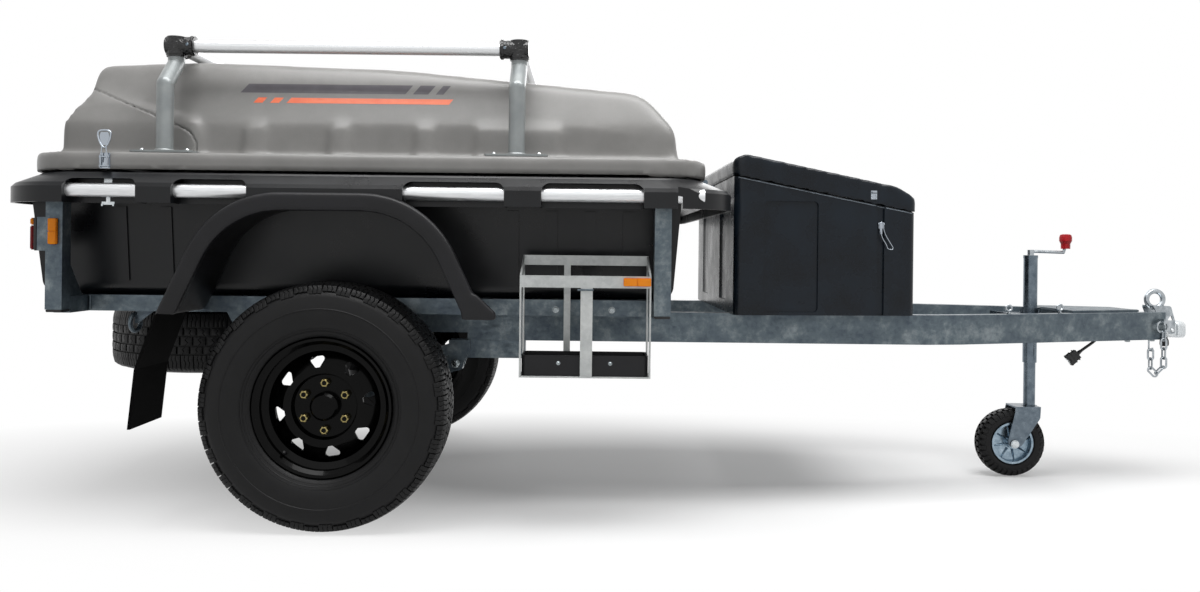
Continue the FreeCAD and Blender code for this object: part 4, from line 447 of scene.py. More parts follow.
def grid_faces(rows, columns, closed_rows, closed_columns):
    faces = []
    for i in range(rows if closed_rows else rows - 1):
        for j in range(columns if closed_columns else columns - 1):
            a, b = i, (i + 1) % rows
            c, d = j, (j + 1) % columns
            faces.append([a * columns + c, b * columns + c, b * columns + d, a * columns + d])
    return faces


def lathe(profile, segments, closed=False, hexed=()):
    """Turns (radius, height) points about Z; hexed names the points that follow a hexagon."""
    points = []
    for k in range(segments):
        angle = 2 * pi * k / segments
        flat = 1 / cos((angle % (pi / 3)) - pi / 6)
        for i, (radius, height) in enumerate(profile):
            r = radius * flat if i in hexed else radius
            points.append((r * cos(angle), r * sin(angle), height))
    faces = grid_faces(segments, len(profile), True, closed)
    if not closed:
        n = len(profile)
        faces.append([k * n for k in range(segments)])
        faces.append([k * n + n - 1 for k in range(segments)][::-1])
    return points, faces


def prism(outline, low, high):
    """Stands a flat (x, y) outline up between two heights."""
    n = len(outline)
    points = [(x, y, low) for x, y in outline] + [(x, y, high) for x, y in outline]
    faces = [[i, (i + 1) % n, n + (i + 1) % n, n + i] for i in range(n)]
    faces += [list(range(n))[::-1], list(range(n, 2 * n))]
    return points, faces


def block(x0, x1, y0, y1, z0, z1):
    return prism([(x0, y0), (x1, y0), (x1, y1), (x0, y1)], z0, z1)


def tube(path, radius, sides=10, closed=False, swell=None):
    """A round bar along a path; swell gives each point its share of the radius."""
    points = []
    path = [Vector(p) for p in path]
    n = len(path)
    up = None
    for i, p in enumerate(path):
        before = path[i - 1] if (closed or i) else p
        after = path[(i + 1) % n] if (closed or i < n - 1) else p
        heading = (after - before).normalized()
        if up is None:
            up = heading.orthogonal().normalized()
        up = (up - heading * up.dot(heading)).normalized()
        side = heading.cross(up)
        r = radius * (swell[i] if swell else 1)
        for k in range(sides):
            angle = 2 * pi * k / sides
            points.append(p + r * (cos(angle) * up + sin(angle) * side))
    faces = grid_faces(n, sides, closed, True)
    if not closed:
        faces.append(list(range(sides)))
        faces.append([(n - 1) * sides + k for k in range(sides)][::-1])
    return points, faces


def smooth_path(corners, steps=6, closed=False):
    """Rounds a path of corners by a spline that runs through the middles of its sides."""
    corners = [Vector(c) for c in corners]
    n = len(corners)
    out = [] if closed else [corners[0]]
    for i in range(0 if closed else 1, n if closed else n - 1):
        a = (corners[i - 1] + corners[i]) / 2
        b = (corners[i] + corners[(i + 1) % n]) / 2
        for k in range(steps):
            t = k / steps
            out.append((1 - t) ** 2 * a + 2 * t * (1 - t) * corners[i] + t ** 2 * b)
    return out if closed else out + [corners[-1]]


def bead(start, end, radius):
    """A weld bead: overlapping ripples 3 mm apart along a line."""
    start, end = Vector(start), Vector(end)
    steps = max(4, round((end - start).length / 1.5))
    path = [start.lerp(end, k / steps) for k in range(steps + 1)]
    return tube(path, radius, 8, swell=[1.12 if k % 2 else 0.88 for k in range(steps + 1)])


def hex_head(across, height):
    """A bolt head with a chamfered top on its washer, standing on z = 0."""
    r = across / 2
    profile = [(0.01, 0), (r * 1.3, 0), (r * 1.3, height * 0.2), (r, height * 0.2),
               (r, height * 0.85), (r * 0.88, height), (0.01, height)]
    return lathe(profile, 24, hexed=(3, 4))


def dome_head(across, height):
    """A low round bolt head on its washer, standing on z = 0."""
    r = across / 2
    return lathe([(0.01, 0), (r * 1.35, 0), (r * 1.35, height * 0.2), (r, height * 0.22),
                  (r * 0.93, height * 0.6), (r * 0.6, height * 0.93), (0.01, height)], 20)


def open_nut(across, bore, height):
    """A hexagon nut whose threaded end stays open, standing on z = 0."""
    r = across / 2
    return lathe([(r, 0), (r, height - 1.6), (r * 0.9, height), (bore + 0.8, height),
                  (bore, height - 1), (bore, 0)], 36, closed=True, hexed=(0, 1))


def put(shape, places):
    """Copies of a shape at (place, axis) pairs."""
    return [moved(shape, facing(place, axis)) for place, axis in places]


SKINS = {}


def touch(node, place, axis):
    """Where a ray from a place meets a CAD node, in millimetres, and the surface's direction there."""
    if node not in SKINS:
        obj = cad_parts[node]
        points = [obj.matrix_world @ v.co for v in obj.data.vertices]
        SKINS[node] = BVHTree.FromPolygons(points, [p.vertices[:] for p in obj.data.polygons])
    x, y, z = place
    hit, normal = SKINS[node].ray_cast(Vector((x * MM + AXLE_X, y * MM, z * MM)), Vector(axis))[:2]
    return Vector(((hit.x - AXLE_X) / MM, hit.y / MM, hit.z / MM)), normal


# The trailer plug's lead hangs from its gland under the right drawbar rail.

LEAD_ROUTE = [(1.6405, -0.118, 0.592), (1.6405, -0.118, 0.572), (1.6345, -0.118, 0.550),
              (1.6205, -0.118, 0.529), (1.5985, -0.118, 0.511), (1.5735, -0.118, 0.494),
              (1.5515, -0.118, 0.476)]
LEAD_DIAMETER = 0.01
PLUG_LENGTH, PLUG_HALF_WIDTH, PLUG_HALF_THICK = 44, 20.5, 8


def add_plug_pieces():
    """The plug's moulded ridges, its tapered strain relief and the pale contacts in its mouth."""
    end, before = (Vector(p) for p in (LEAD_ROUTE[-1], LEAD_ROUTE[-2]))
    out = (end - before).normalized()
    place = Vector(((end.x - AXLE_X) / MM, end.y / MM, end.z / MM))
    across = Vector((0, 1, 0)).cross(out)
    local = axes(place, out, (0, 1, 0), across)
    ridges = []
    for near, far in ((7, 10.5), (21, 24), (38, 41.5)):
        ridges.append(moved(block(near, far, -PLUG_HALF_THICK - 1.3, PLUG_HALF_THICK + 1.3,
                                  -PLUG_HALF_WIDTH - 1.3, PLUG_HALF_WIDTH + 1.3), local))
    sleeve_path = [place - out * d for d in (17, 16, 12, 8, 4, 0, -2)]
    sleeve = tube(sleeve_path, LEAD_DIAMETER / MM / 2, 16,
                  swell=(1.06, 1.16, 1.24, 1.38, 1.5, 1.62, 1.66))
    contacts = [moved(block(PLUG_LENGTH - 3, PLUG_LENGTH + 1.2, -4, 4, z, z + 5), local)
                for z in (-14, -7, 2, 9)]
    return [finish_mesh("plug_ridges", ridges, NYLON, "chassis", bevel=0.8),
            finish_mesh("plug_strain_relief", [sleeve], NYLON, "chassis"),
            finish_mesh("plug_contacts", contacts, PALE_CLIP, "chassis")]


def add_lead():
    data = bpy.data.curves.new("plug_lead_sheath", "CURVE")
    data.dimensions = "3D"
    line = data.splines.new("NURBS")
    line.points.add(len(LEAD_ROUTE) - 1)
    for point, place in zip(line.points, LEAD_ROUTE):
        point.co = (*place, 1)
    line.order_u = 3
    line.use_endpoint_u = True
    data.bevel_depth = LEAD_DIAMETER / 2
    data.bevel_resolution = 6
    lead = new_object("plug_lead_sheath", data, PVC)
    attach(lead, "chassis")
    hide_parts("plug_lead")
    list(add_plug_pieces())


add_lead()


# CAD nodes keep their shapes and get their finishes

FINISHES = {
    GALVANISED: ["drawbar_rails", "side_rails", "cross_members", "corner_posts", "bracket_plates",
                 "suspension_arms"],
    GALV_SHEET: ["jerry_holder"],
    ZINC_PAINTED_DARK_REFLECTION: ["lid_hinges", "lid_leaves", "jockey_tube", "jockey_inner", "jockey_fork"],
    BLUE_ZINC: ["jockey_hub"],
    BRIGHT_ZINC: ["jockey_crank", "coupling_handle", "safety_chain"],
    ALU_X: ["tie_rail"],
    ALU_Y: ["rack_bars"],
    SILVER: ["rack_legs"],
    ENAMEL: ["rim_right", "rim_left", "spare_rim", "hub_right", "hub_left"],
    BLACK_TUB: ["tub"],
    GUARD_BLACK: ["jerry_tray"],
    BOX_BLACK: ["toolbox_body"],
    ABS: ["rack_joints"],
    NYLON: ["plug", "cord_gland"],
    TYRE: ["springs"],
    SHEET_RUBBER: ["mud_flaps"],
}


def dress_nodes():
    for material, names in FINISHES.items():
        for name in names:
            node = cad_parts[name]
            node.data.materials.clear()
            node.data.materials.append(material)


dress_nodes()


# Moulded and cast forms with their soft edges

def with_modifier(mesh, kind, **settings):
    """Works one modifier into a mesh."""
    helper = new_object("helper", mesh)
    modifier = helper.modifiers.new("form", kind)
    for key, value in settings.items():
        setattr(modifier, key, value)
    depsgraph = bpy.context.evaluated_depsgraph_get()
    out = bpy.data.meshes.new_from_object(helper.evaluated_get(depsgraph))
    bpy.data.objects.remove(helper)
    return out


def keep_largest(bm):
    """Drops every island of a mesh but its largest one."""
    left, islands = set(bm.verts), []
    while left:
        reached = [left.pop()]
        for vert in reached:
            for edge in vert.link_edges:
                other = edge.other_vert(vert)
                if other in left:
                    left.remove(other)
                    reached.append(other)
        islands.append(reached)
    largest = max(islands, key=len)
    small = [vert for island in islands if island is not largest for vert in island]
    bmesh.ops.delete(bm, geom=small, context="VERTS")


CAVITY_GROWTH = 1.004
CAVITY_LIFT = 2 * MM
FLANGE_TOP = 1.126
FLANGE_SINK = 3 * MM
CREASE_FOOT = 1.118


def soften(name, node, material, body, voxel, rounds, wall=0.0, fillers=(), cavity_from=None,
           rounder=None, more=0, groove=(), sill=400.0):
    """Rounds a CAD node's form by smoothing an even mesh of it; a wall leaves it open below.

    Fillers and the cavity's hull keep thin walls whole in the even mesh. Rounder names the places
    that get more rounds, groove a crease, and sill how far up the faces that look down are cut.
    """
    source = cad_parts[node]
    bm = bmesh.new()
    bm.from_mesh(source.data)
    bm.transform(source.matrix_world)
    if cavity_from is not None:
        skin = BVHTree.FromBMesh(bm)
        inner = [v.co.copy() for v in bm.verts if v.co.z > cavity_from * MM
                 and skin.ray_cast(v.co + Vector((0, 0, MM / 2)), (0, 0, 1))[0]]
        middle = sum(inner, Vector()) / len(inner)
        grown = [bm.verts.new(middle + (p - middle) * CAVITY_GROWTH + Vector((0, 0, CAVITY_LIFT)))
                 for p in inner]
        bmesh.ops.convex_hull(bm, input=grown)
    for points, faces in fillers:
        made = [bm.verts.new((x * MM + AXLE_X, y * MM, z * MM)) for x, y, z in points]
        for face in faces:
            bm.faces.new([made[i] for i in face])
    mesh = bpy.data.meshes.new(name)
    bm.to_mesh(mesh)
    bm.free()
    mesh = with_modifier(mesh, "REMESH", mode="VOXEL", voxel_size=voxel * MM)
    bm = bmesh.new()
    bm.from_mesh(mesh)
    if wall:
        floor = min(v.co.z for v in bm.verts)
        below = [f for f in bm.faces
                 if f.normal.z < -0.6 and f.calc_center_median().z < floor + sill * MM]
        bmesh.ops.delete(bm, geom=below, context="FACES")
        keep_largest(bm)
    for turn in range(rounds + more):
        free = [v for v in bm.verts if not v.is_boundary and (
            turn < rounds or rounder((v.co.x - AXLE_X) / MM, abs(v.co.y) / MM, v.co.z / MM))]
        bmesh.ops.smooth_vert(bm, verts=free, factor=0.5, use_axis_x=True, use_axis_y=True,
                              use_axis_z=True)
    if groove:
        cut_groove(bm, groove)
        for v in bm.verts:
            if v.normal.z > 0.85 and v.co.z < FLANGE_TOP:
                v.co.z -= FLANGE_SINK
    bm.to_mesh(mesh)
    bm.free()
    if wall:
        mesh = with_modifier(mesh, "DECIMATE", ratio=0.6)
        mesh = with_modifier(mesh, "SOLIDIFY", thickness=wall * MM, offset=-1.0)
    mesh.polygons.foreach_set("use_smooth", [True] * len(mesh.polygons))
    mesh.materials.clear()
    obj = new_object(name, mesh, material)
    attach(obj, body)
    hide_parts(node)
    SKINS[node] = BVHTree.FromPolygons([v.co for v in mesh.vertices],
                                       [f.vertices[:] for f in mesh.polygons])


REAR_CREASE = [(-800, 1331), (-494, 1206), (-462, 1186), (-444, 1158), (-440, 1122)]


def cut_groove(bm, path, half=5.0, depth=4.5):
    """Presses a narrow crease into both flanks along a path of x and z."""
    for (x0, z0), (x1, z1) in zip(path, path[1:]):
        length = hypot(x1 - x0, z1 - z0)
        along, across = Vector((x1 - x0, 0, z1 - z0)) / length, Vector((z0 - z1, 0, x1 - x0)) / length
        start = Vector((x0 * MM + AXLE_X, 0, z0 * MM))

        def near(v, reach=30.0):
            t = (v.co - start).dot(along) / MM
            return (-2 <= t <= length + 2 and v.co.z > CREASE_FOOT
                    and abs((v.co - start).dot(across)) < reach * MM)

        for offset in (-half, half, 0.0):
            faces = [f for f in bm.faces if abs(f.normal.z) < 0.8 and any(near(v) for v in f.verts)]
            edges, verts = {e for f in faces for e in f.edges}, {v for f in faces for v in f.verts}
            bmesh.ops.bisect_plane(bm, geom=faces + list(edges) + list(verts), dist=1e-6,
                                   plane_co=start + across * offset * MM, plane_no=across)
        bm.normal_update()
        moves = [(v, v.normal * -depth * MM) for v in bm.verts
                 if near(v, 0.3) and abs(v.normal.z) < 0.9]
        for v, step in moves:
            v.co += step


def on_lid_shoulder(x, y, z):
    """The lid's front and its upper edge, which are rounder than the rest."""
    return z > 1130 and (x > 930 or z > 1345 + 0.09 * x * (x < 0) - 0.16 * max(x, 0))


def add_soft_forms():
    flange = [block(-905, 1115, -650, 650, 1053, 1112), block(-720, 930, -838, 838, 1053, 1112),
              block(-850, 1055, -705, 705, 1053, 1112), block(-780, 1042, -685, 685, 1100, 1206)]
    soften("lid_moulding", "lid", GREY_LID, "pod_lid", 10, 3, 8.0, flange, 1105,
           on_lid_shoulder, 16, REAR_CREASE, 20.0)
    soften("mudguard_mouldings", "mudguards", GUARD_BLACK, "chassis", 5.5, 5)
    soften("toolbox_lid_moulding", "toolbox_lid", BOX_BLACK, "box_lid", 7, 7, 5.0,
           (), 985)
    soften("coupling_casting", "coupling", CAST, "chassis", 2.5, 10)


add_soft_forms()


# Tyres with their treads

CROWN = 366.7
TREAD_DEPTH = 9.5
PITCHES = 52
LUG_OUTER = [(366.4, 49), (365.4, 62), (363.6, 76), (358.9, 94), (351.5, 100), (344.5, 104),
             (337.5, 106.5)]
LUG_INNER = [(357.0, 49), (356.0, 62), (354.5, 76), (352.0, 89.5), (347.0, 96), (341.5, 100.8),
             (335.0, 104.4)]
ZIGZAG = [0, 2.2, -2.2, 2.2, -2.2, 0, 0]
WALL = [(357.2, 0), (357.2, 47), (356.0, 64), (353.5, 82), (350.0, 91.5), (342.0, 99.5), (334.0, 104.4),
        (329.5, 107.8), (324.7, 109.5), (315.0, 112.2), (305.0, 114.5), (293.0, 116.2), (291.8, 117.3),
        (289.6, 117.3),
        (288.4, 115.9), (276.0, 116.3), (262.0, 114.6), (250.0, 112.2), (240.0, 109.2), (236.0, 106.7),
        (235.2, 107.2), (233.4, 106.1), (232.6, 104.5), (228.6, 101.9), (227.8, 102.4), (226.0, 101.1),
        (225.2, 99.5), (220.0, 95.9), (219.2, 96.2), (217.4, 94.9), (213.0, 91.0), (209.0, 86.5),
        (208.4, 81.7), (190.3, 73.5)]
LINING = [(195, 66), (213, 84), (240, 101), (285, 108), (325, 101), (343, 88), (347, 60), (347.5, 0)]


def tread_block(outer, inner, start, end, skew_start, skew_end, chamfer=0.9):
    """A rubber block between two distances in millimetres round the crown."""
    points = []
    last = len(outer) - 1
    length = end - start
    for i, share in enumerate((0, 1.1 / length, 1 - 1.1 / length, 1, 1, 0)):
        for j in range(last + 1):
            place = start + skew_start[j] + share * (length + skew_end[j] - skew_start[j])
            angle = place / CROWN
            top, base = Vector(outer[j]), Vector(inner[j])
            if i > 3:
                r, h = base
            elif i in (0, 3) or j in (0, last):
                r, h = top.lerp(base, chamfer / (top - base).length)
            else:
                r, h = top
            points.append((r * cos(angle), r * sin(angle), h))
    n = last + 1
    faces = grid_faces(6, n, True, False)
    faces += [[i * n for i in range(6)], [i * n + last for i in range(6)][::-1]]
    return points, faces


def cut_blocks(outer, inner, start, end, cuts, zigzag, gap=1.5):
    """A block split by sipes: thin zigzag cuts across it."""
    n = len(outer)
    straight = [0] * n
    width = (end - start) / (cuts + 1)
    blocks = []
    for k in range(cuts + 1):
        blocks.append(tread_block(outer, inner, start + k * width + (gap / 2 if k else 0),
                                  start + (k + 1) * width - (gap / 2 if k < cuts else 0),
                                  zigzag[:n] if k else straight, zigzag[:n] if k < cuts else straight))
    return blocks


def ring_section(wall, lining):
    """Closes one half of a tyre's section into the whole ring."""
    other = [(r, -h) for r, h in (wall[1:] + lining[:-1])][::-1]
    return wall + lining + other


def road_tyre():
    """An all-terrain tyre about Z: carcass, sidewall rings, shoulder lugs and centre blocks."""
    shapes = [lathe(ring_section(WALL, LINING), 168, closed=True)]
    pitch = 2 * pi * CROWN / PITCHES
    flip = lambda section: [(r, -h) for r, h in section]
    base = CROWN - TREAD_DEPTH
    row = [(CROWN, h) for h in (20, 28, 36, 44)]
    row_base = [(base, h) for h in (20, 28, 36, 44)]
    middle = [(CROWN, h) for h in (-14, -5, 5, 14)]
    middle_base = [(base, h) for h in (-14, -5, 5, 14)]
    for k in range(PITCHES):
        a = k * pitch
        size = 7 if k % 2 else 6
        outer, inner = LUG_OUTER[:size], LUG_INNER[:size]
        shapes += cut_blocks(outer, inner, a, a + pitch - 3.4, 2, ZIGZAG)
        shapes += cut_blocks(flip(outer), flip(inner), a + pitch / 2, a + 1.5 * pitch - 3.4, 2, ZIGZAG)
        shapes += cut_blocks(row, row_base, a + 14, a + 14 + pitch - 7, 1, (-4, 3, -3, 4))
        shapes += cut_blocks(flip(row), flip(row_base), a + 36, a + 36 + pitch - 7, 1, (-4, 3, -3, 4))
        shapes += cut_blocks(middle, middle_base, a + 4, a + 4 + pitch - 7, 1, (-5, 5, -5, 5))
    return shapes


def add_road_tyres():
    tyre = road_tyre()
    spare_low, spare_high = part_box("spare_tyre")
    spare = (spare_low + spare_high) / 2
    for name, node, body, place, axis in (
            ("tyre_tread_right", "tyre_right", "wheel_right", (0, -WHEEL_Y, AXLE_Z), (0, -1, 0)),
            ("tyre_tread_left", "tyre_left", "wheel_left", (0, WHEEL_Y, AXLE_Z), (0, 1, 0)),
            ("tyre_tread_spare", "spare_tyre", "chassis",
             ((spare.x - AXLE_X) / MM, spare.y / MM, spare.z / MM), (0, 0, -1))):
        matrix = facing(place, axis)
        finish_mesh(name, [moved(s, matrix) for s in tyre], TYRE, body, [node], sharp=28)


JOCKEY_AXLE = Vector((2381, 0, 127))
JOCKEY_CROWN = 127


def add_jockey_tyre():
    """A small rubber tyre with two staggered rows of blocks and a block on each shoulder."""
    wall = [(118.5, 0), (118.5, 20), (114, 28), (106, 33), (98, 35.6), (90, 36.2), (84, 34), (80, 29),
            (78.3, 24)]
    lining = [(78.3, 0)]
    shapes = [lathe(ring_section(wall, lining), 96, closed=True)]
    count = 34
    pitch = 2 * pi * CROWN / count
    level = (0, 0, 0, 0)
    chamfer = 0.7 * (CROWN / JOCKEY_CROWN) / 2
    for k in range(count):
        a = k * pitch
        for sign, shift in ((1, 0.0), (-1, 0.5)):
            row = [(r, sign * h) for r, h in ((JOCKEY_CROWN, 1.5), (JOCKEY_CROWN, 10), (126.2, 19))]
            row_base = [(118, sign * h) for h in (1.5, 10, 19)]
            edge = [(r, sign * h) for r, h in ((125, 21.5), (121.5, 28), (113.5, 34), (105, 37))]
            edge_base = [(r, sign * h) for r, h in ((118, 21), (114, 26), (106, 31), (100, 34))]
            at = a + shift * pitch
            shapes += [tread_block(row, row_base, at, at + pitch * 0.62, level, level, chamfer),
                       tread_block(edge, edge_base, at + pitch * 0.5, at + pitch * 1.12, level, level)]
    matrix = facing(JOCKEY_AXLE, (0, -1, 0))
    finish_mesh("jockey_tyre_tread", [moved(s, matrix) for s in shapes], TYRE, "jockey_wheel",
                ["jockey_tyre"], sharp=28)


add_road_tyres()
add_jockey_tyre()


# Wheel hardware

NUT_CIRCLE = 69.85
NUT_TURN = 30
NUT_SEAT = 836.2
VALVE_CIRCLE = 181
VALVE_ANGLE = radians(230)
VALVE_LEAN = 0.45
FAR_OUT = 1300


def add_wheel_hardware():
    nut = open_nut(21.6, 6.6, 22.6)
    valve = lathe([(0.01, -6), (5.6, -6), (5.6, 6), (4.4, 11), (3.4, 13), (3.4, 24), (4.1, 24.5),
                   (4.1, 32), (3.2, 33), (0.01, 33)], 16)
    for body, sign, rim in (("wheel_right", -1, "rim_right"), ("wheel_left", 1, "rim_left")):
        nuts = []
        for k in range(6):
            angle = radians(NUT_TURN + 60 * k)
            x, z = NUT_CIRCLE * cos(angle), AXLE_Z + NUT_CIRCLE * sin(angle)
            nuts += put(nut, [((x, sign * NUT_SEAT, z), (0, sign, 0))])
        side = "right" if sign < 0 else "left"
        finish_mesh("wheel_nuts_" + side, nuts, GOLD_ZINC, body)
        along, up = cos(VALVE_ANGLE), sin(VALVE_ANGLE)
        start = (VALVE_CIRCLE * along, sign * FAR_OUT, AXLE_Z + VALVE_CIRCLE * up)
        seat = touch(rim, start, (0, -sign, 0))[0]
        lean = Vector((-VALVE_LEAN * along, sign, -VALVE_LEAN * up)).normalized()
        finish_mesh("tyre_valve_" + side, put(valve, [(seat, lean)]), NYLON, body)


add_wheel_hardware()


# Lamps

def add_lamps():
    """Tail lamps with an amber top over red in a black housing, and amber markers in two segments."""
    housing = [block(-877.5, -866.3, -829, -749, 817, 917)]
    halves = ((-826.5, -790), (-788.6, -751.5))
    red = [block(-889.2, -877.8, y0, y1, 819.5, 892) for y0, y1 in halves]
    amber = [block(-889.2, -877.8, y0, y1, 893.6, 914.5) for y0, y1 in halves]
    finish_mesh("tail_lamp_lenses_red", both(red), RED, "chassis", ["tail_lamps"],
                bevel=3.2)
    finish_mesh("tail_lamp_lenses_amber", both(amber), AMBER, "chassis", bevel=3.2)
    finish_mesh("tail_lamp_housings", both(housing), NYLON, "chassis", bevel=2.5)
    on_posts = [block(-828, -802, -833.5, -830.3, 836, 914),
                block(-827, -803, -844.2, -833.5, 837, 874.4),
                block(-827, -803, -844.2, -833.5, 875.6, 913)]
    on_holder = [block(876, 956, -903.5, -900.3, 733, 757), block(877, 914.9, -914.2, -903.5, 734, 756),
                 block(916.1, 955, -914.2, -903.5, 734, 756)]
    finish_mesh("side_marker_lenses", both(on_posts) + on_holder, AMBER, "chassis",
                ["side_markers"], bevel=1.6)


add_lamps()


# Latches

def clip_shapes():
    """An over-centre latch on its back plate: X across, Y out, Z up from its foot, 114 mm tall."""
    plate = [block(-15, 15, 0.2, 2.0, 2, 48), block(-13.5, -11.7, 2.0, 9.5, 4, 42),
             block(11.7, 13.5, 2.0, 9.5, 4, 42), block(-11.7, 11.7, 2.0, 5.5, 10, 19)]
    pins = [tube([(-15, 7, z), (15, 7, z)], 2.3, 12) for z in (9, 36)]
    wires = [tube([(s * 9.4, 8.5, 9), (s * 8.8, 9.6, 30), (s * 6.2, 9.2, 66)], 1.8, 10)
             for s in (-1, 1)]
    ring = smooth_path([(0, 7.2, 60), (-11, 7.2, 72), (-20, 7.2, 100), (-16, 7.2, 114), (16, 7.2, 114),
                        (20, 7.2, 100), (11, 7.2, 72)], 6, closed=True)
    web = prism([(-9, 70), (9, 70), (14.5, 96), (11, 108), (-11, 108), (-14.5, 96)], 5.6, 7.2)
    web = ([(x, z, y) for x, y, z in web[0]], web[1])
    return plate + pins + wires + [tube(ring, 2.9, 10, closed=True), web]


def add_latches():
    clip = clip_shapes()
    side = [moved(s, axes((-650, -860.2, 1059), (1, 0, 0), (0, -1, 0), (0, 0, 1))) for s in clip]
    small = Matrix.Diagonal((0.78, 0.62, 0.755, 1))
    rear = [moved(s, axes((-925.1, -502, 1063), (0, 1, 0), (-1, 0, 0), (0, 0, 1)) @ small)
            for s in clip]
    finish_mesh("lid_latch_clips", both(side + rear), CHROME, "pod_lid",
                ["lid_latches"], sharp=40)
    wall = touch("tub", (-650, -FAR_OUT, 1025), (0, 1, 0))[0].y - 0.2
    keeper = [block(-662, -638, wall - 3.4, wall, 1019, 1031),
              block(-656, -644, wall - 2, wall, 962, 1019),
              block(-669, -631, wall - 2.4, wall, 955, 964),
              block(-669, -664, wall - 6, wall, 951, 958),
              block(-636, -631, wall - 6, wall, 951, 958)]
    finish_mesh("lid_latch_keepers", both(keeper), PALE_CLIP, "chassis", bevel=0.6)
    skin = touch("toolbox_body", (1743, -FAR_OUT, 930), (0, 1, 0))[0].y
    body = [block(1734, 1752, skin - 13.5, skin - 0.2, 919, 939),
            block(1739, 1747, skin - 9, skin - 0.2, 900, 919)]
    pin = [tube([(1732.5, skin - 11.6, 934), (1753.5, skin - 11.6, 934)], 2.2, 12)]
    bends = ((1737, 940), (1737, 918), (1745, 888), (1760, 866), (1764, 850), (1786, 850),
             (1772, 872), (1757, 896), (1749, 918), (1749, 940))
    loop = smooth_path([(x, skin - 14.6, z) for x, z in bends], 5, closed=True)
    wire = [tube(loop, 1.5, 8, closed=True)]
    finish_mesh("toolbox_latch_wires", both(body + pin + wire), CHROME, "chassis",
                ["toolbox_latches"], bevel=0.5, sharp=50)
    seat = touch("toolbox_lid", (1716, -FAR_OUT, 1030), (0, 1, 0))[0].y
    hook = [block(1706, 1726, seat - 2, seat - 0.2, 1015, 1044),
            block(1709, 1723, seat - 9, seat - 2, 1033, 1037),
            block(1709, 1723, seat - 9, seat - 7, 1034, 1041)]
    screws = put(dome_head(5, 2.4), [((x, seat - 2, z), (0, -1, 0))
                                     for x in (1709, 1723) for z in (1018, 1027)])
    finish_mesh("toolbox_lid_keepers", both(hook + screws), CHROME, "box_lid",
                bevel=0.4, sharp=50)


add_latches()


# Stripes of cut film on the lid's sloped sides

def stripe(x0, x1, z0, z1, lean):
    """A slanted bar of film laid 0.35 mm off the lid's side."""
    points = []
    columns = 10
    for k in range(columns + 1):
        for z, slide in ((z0, 0), (z1, lean)):
            x = x0 + (x1 - x0) * k / columns + slide
            place, normal = touch("lid", (x, -FAR_OUT, z), (0, 1, 0))
            points.append(place + normal * 0.35)
    return points, grid_faces(columns + 1, 2, False, False)


def add_stripes():
    dark = [stripe(x0, x1, 1322, 1352, 22) for x0, x1 in ((-330, 190), (214, 262), (286, 310))]
    orange = [stripe(x0, x1, 1288, 1306, 13) for x0, x1 in ((-180, 330), (-232, -204), (-284, -256))]
    finish_mesh("lid_stripes_dark", both(dark), DARK_FILM, "pod_lid")
    finish_mesh("lid_stripes_orange", both(orange), ORANGE_FILM, "pod_lid")


add_stripes()


# Bolts, welds and caps

def rail_y(x):
    """The middle of the right drawbar rail, which runs in towards the coupling."""
    return -(405 - 0.353 * (x - 1970))


def add_rack_hardware():
    heads, welds, screws = [], [], []
    socket = lathe([(0.01, 0), (4.6, 0), (4.6, 1.6), (3.9, 2.2), (2.2, 2.2), (2.2, 0.6), (0.01, 0.6)],
                   16)
    for x in (-510, 553):
        heads += put(dome_head(15, 8), [((x + dx, -780, 1121.6), (0, 0, 1)) for dx in (-68, 68)])
        ring = [(x + 26.5 * cos(a), -780 + 26.5 * sin(a), 1122.8)
                for a in (2 * pi * k / 60 for k in range(60))]
        welds.append(tube(ring, 3.2, 8, closed=True, swell=[1.15 if k % 2 else 0.9 for k in range(60)]))
        toward = 1 if x < 0 else -1
        screws += put(socket, [((x + toward * 44, -729.2, 1455), (0, -1, 0)),
                               ((x, -655, 1484.2), (0, 0, 1))])
    finish_mesh("rack_foot_bolts", both(heads), PALE_CLIP, "pod_lid")
    finish_mesh("rack_foot_welds", both(welds), SILVER, "pod_lid")
    finish_mesh("rack_joint_screws", both(screws), ZINC_PAINTED_DARK_REFLECTION, "pod_lid")


def add_frame_hardware():
    hex_small, hex_large, dome = hex_head(16, 8), hex_head(24, 11), dome_head(9, 4)
    tray = put(dome, [((x, -890, 507), (0, -1, 0)) for x in (689, 840)])
    heads = put(hex_small, [((x, -665, 649), (0, -1, 0)) for x in (673, 849)])
    heads += put(hex_large, [touch("suspension_arms", (333, -FAR_OUT, 451), (0, 1, 0))])
    heads += put(hex_small, [((x, rail_y(x), 530), (0, 0, -1)) for x in (2757, 2870)])
    for y in (-900, -822, -744):
        place, normal = touch("mud_flaps", (-1500, y, 612), (1, 0, 0))
        heads += put(hex_small, [(place, normal)])
    finish_mesh("frame_bolts", both(heads) + tray, BOLT_ZINC, "chassis")
    welds = [bead((x, -666, 633), (x, -666, 677), 3.4) for x in (-844, -786, 380, 966, 1024)]
    welds += [bead((x0, -781, 681.5), (x1, -781, 681.5), 3.0) for x0, x1 in ((-838, -792), (972, 1018))]
    strap = [bead((743, -901, 721), (789, -901, 721), 3.0)]
    caps = [block(x, x + 48, -829, -781, 634, 642.4) for x in (-839, 971)]
    finish_mesh("frame_welds", both(welds) + strap, GALVANISED, "chassis")
    finish_mesh("post_foot_caps", both(caps), NYLON, "chassis", bevel=2)


def eye_bolt(x, y, foot):
    """A drawn eye on its nut, standing on a rail."""
    ring = [(x + 10 * cos(a), y, foot + 21 + 10 * sin(a))
            for a in (2 * pi * k / 32 for k in range(32))]
    return [tube(ring, 3.6, 10, closed=True), tube([(x, y, foot), (x, y, foot + 10)], 3.3, 10),
            moved(hex_head(12, 5.5), Matrix.Translation((x, y, foot)))]


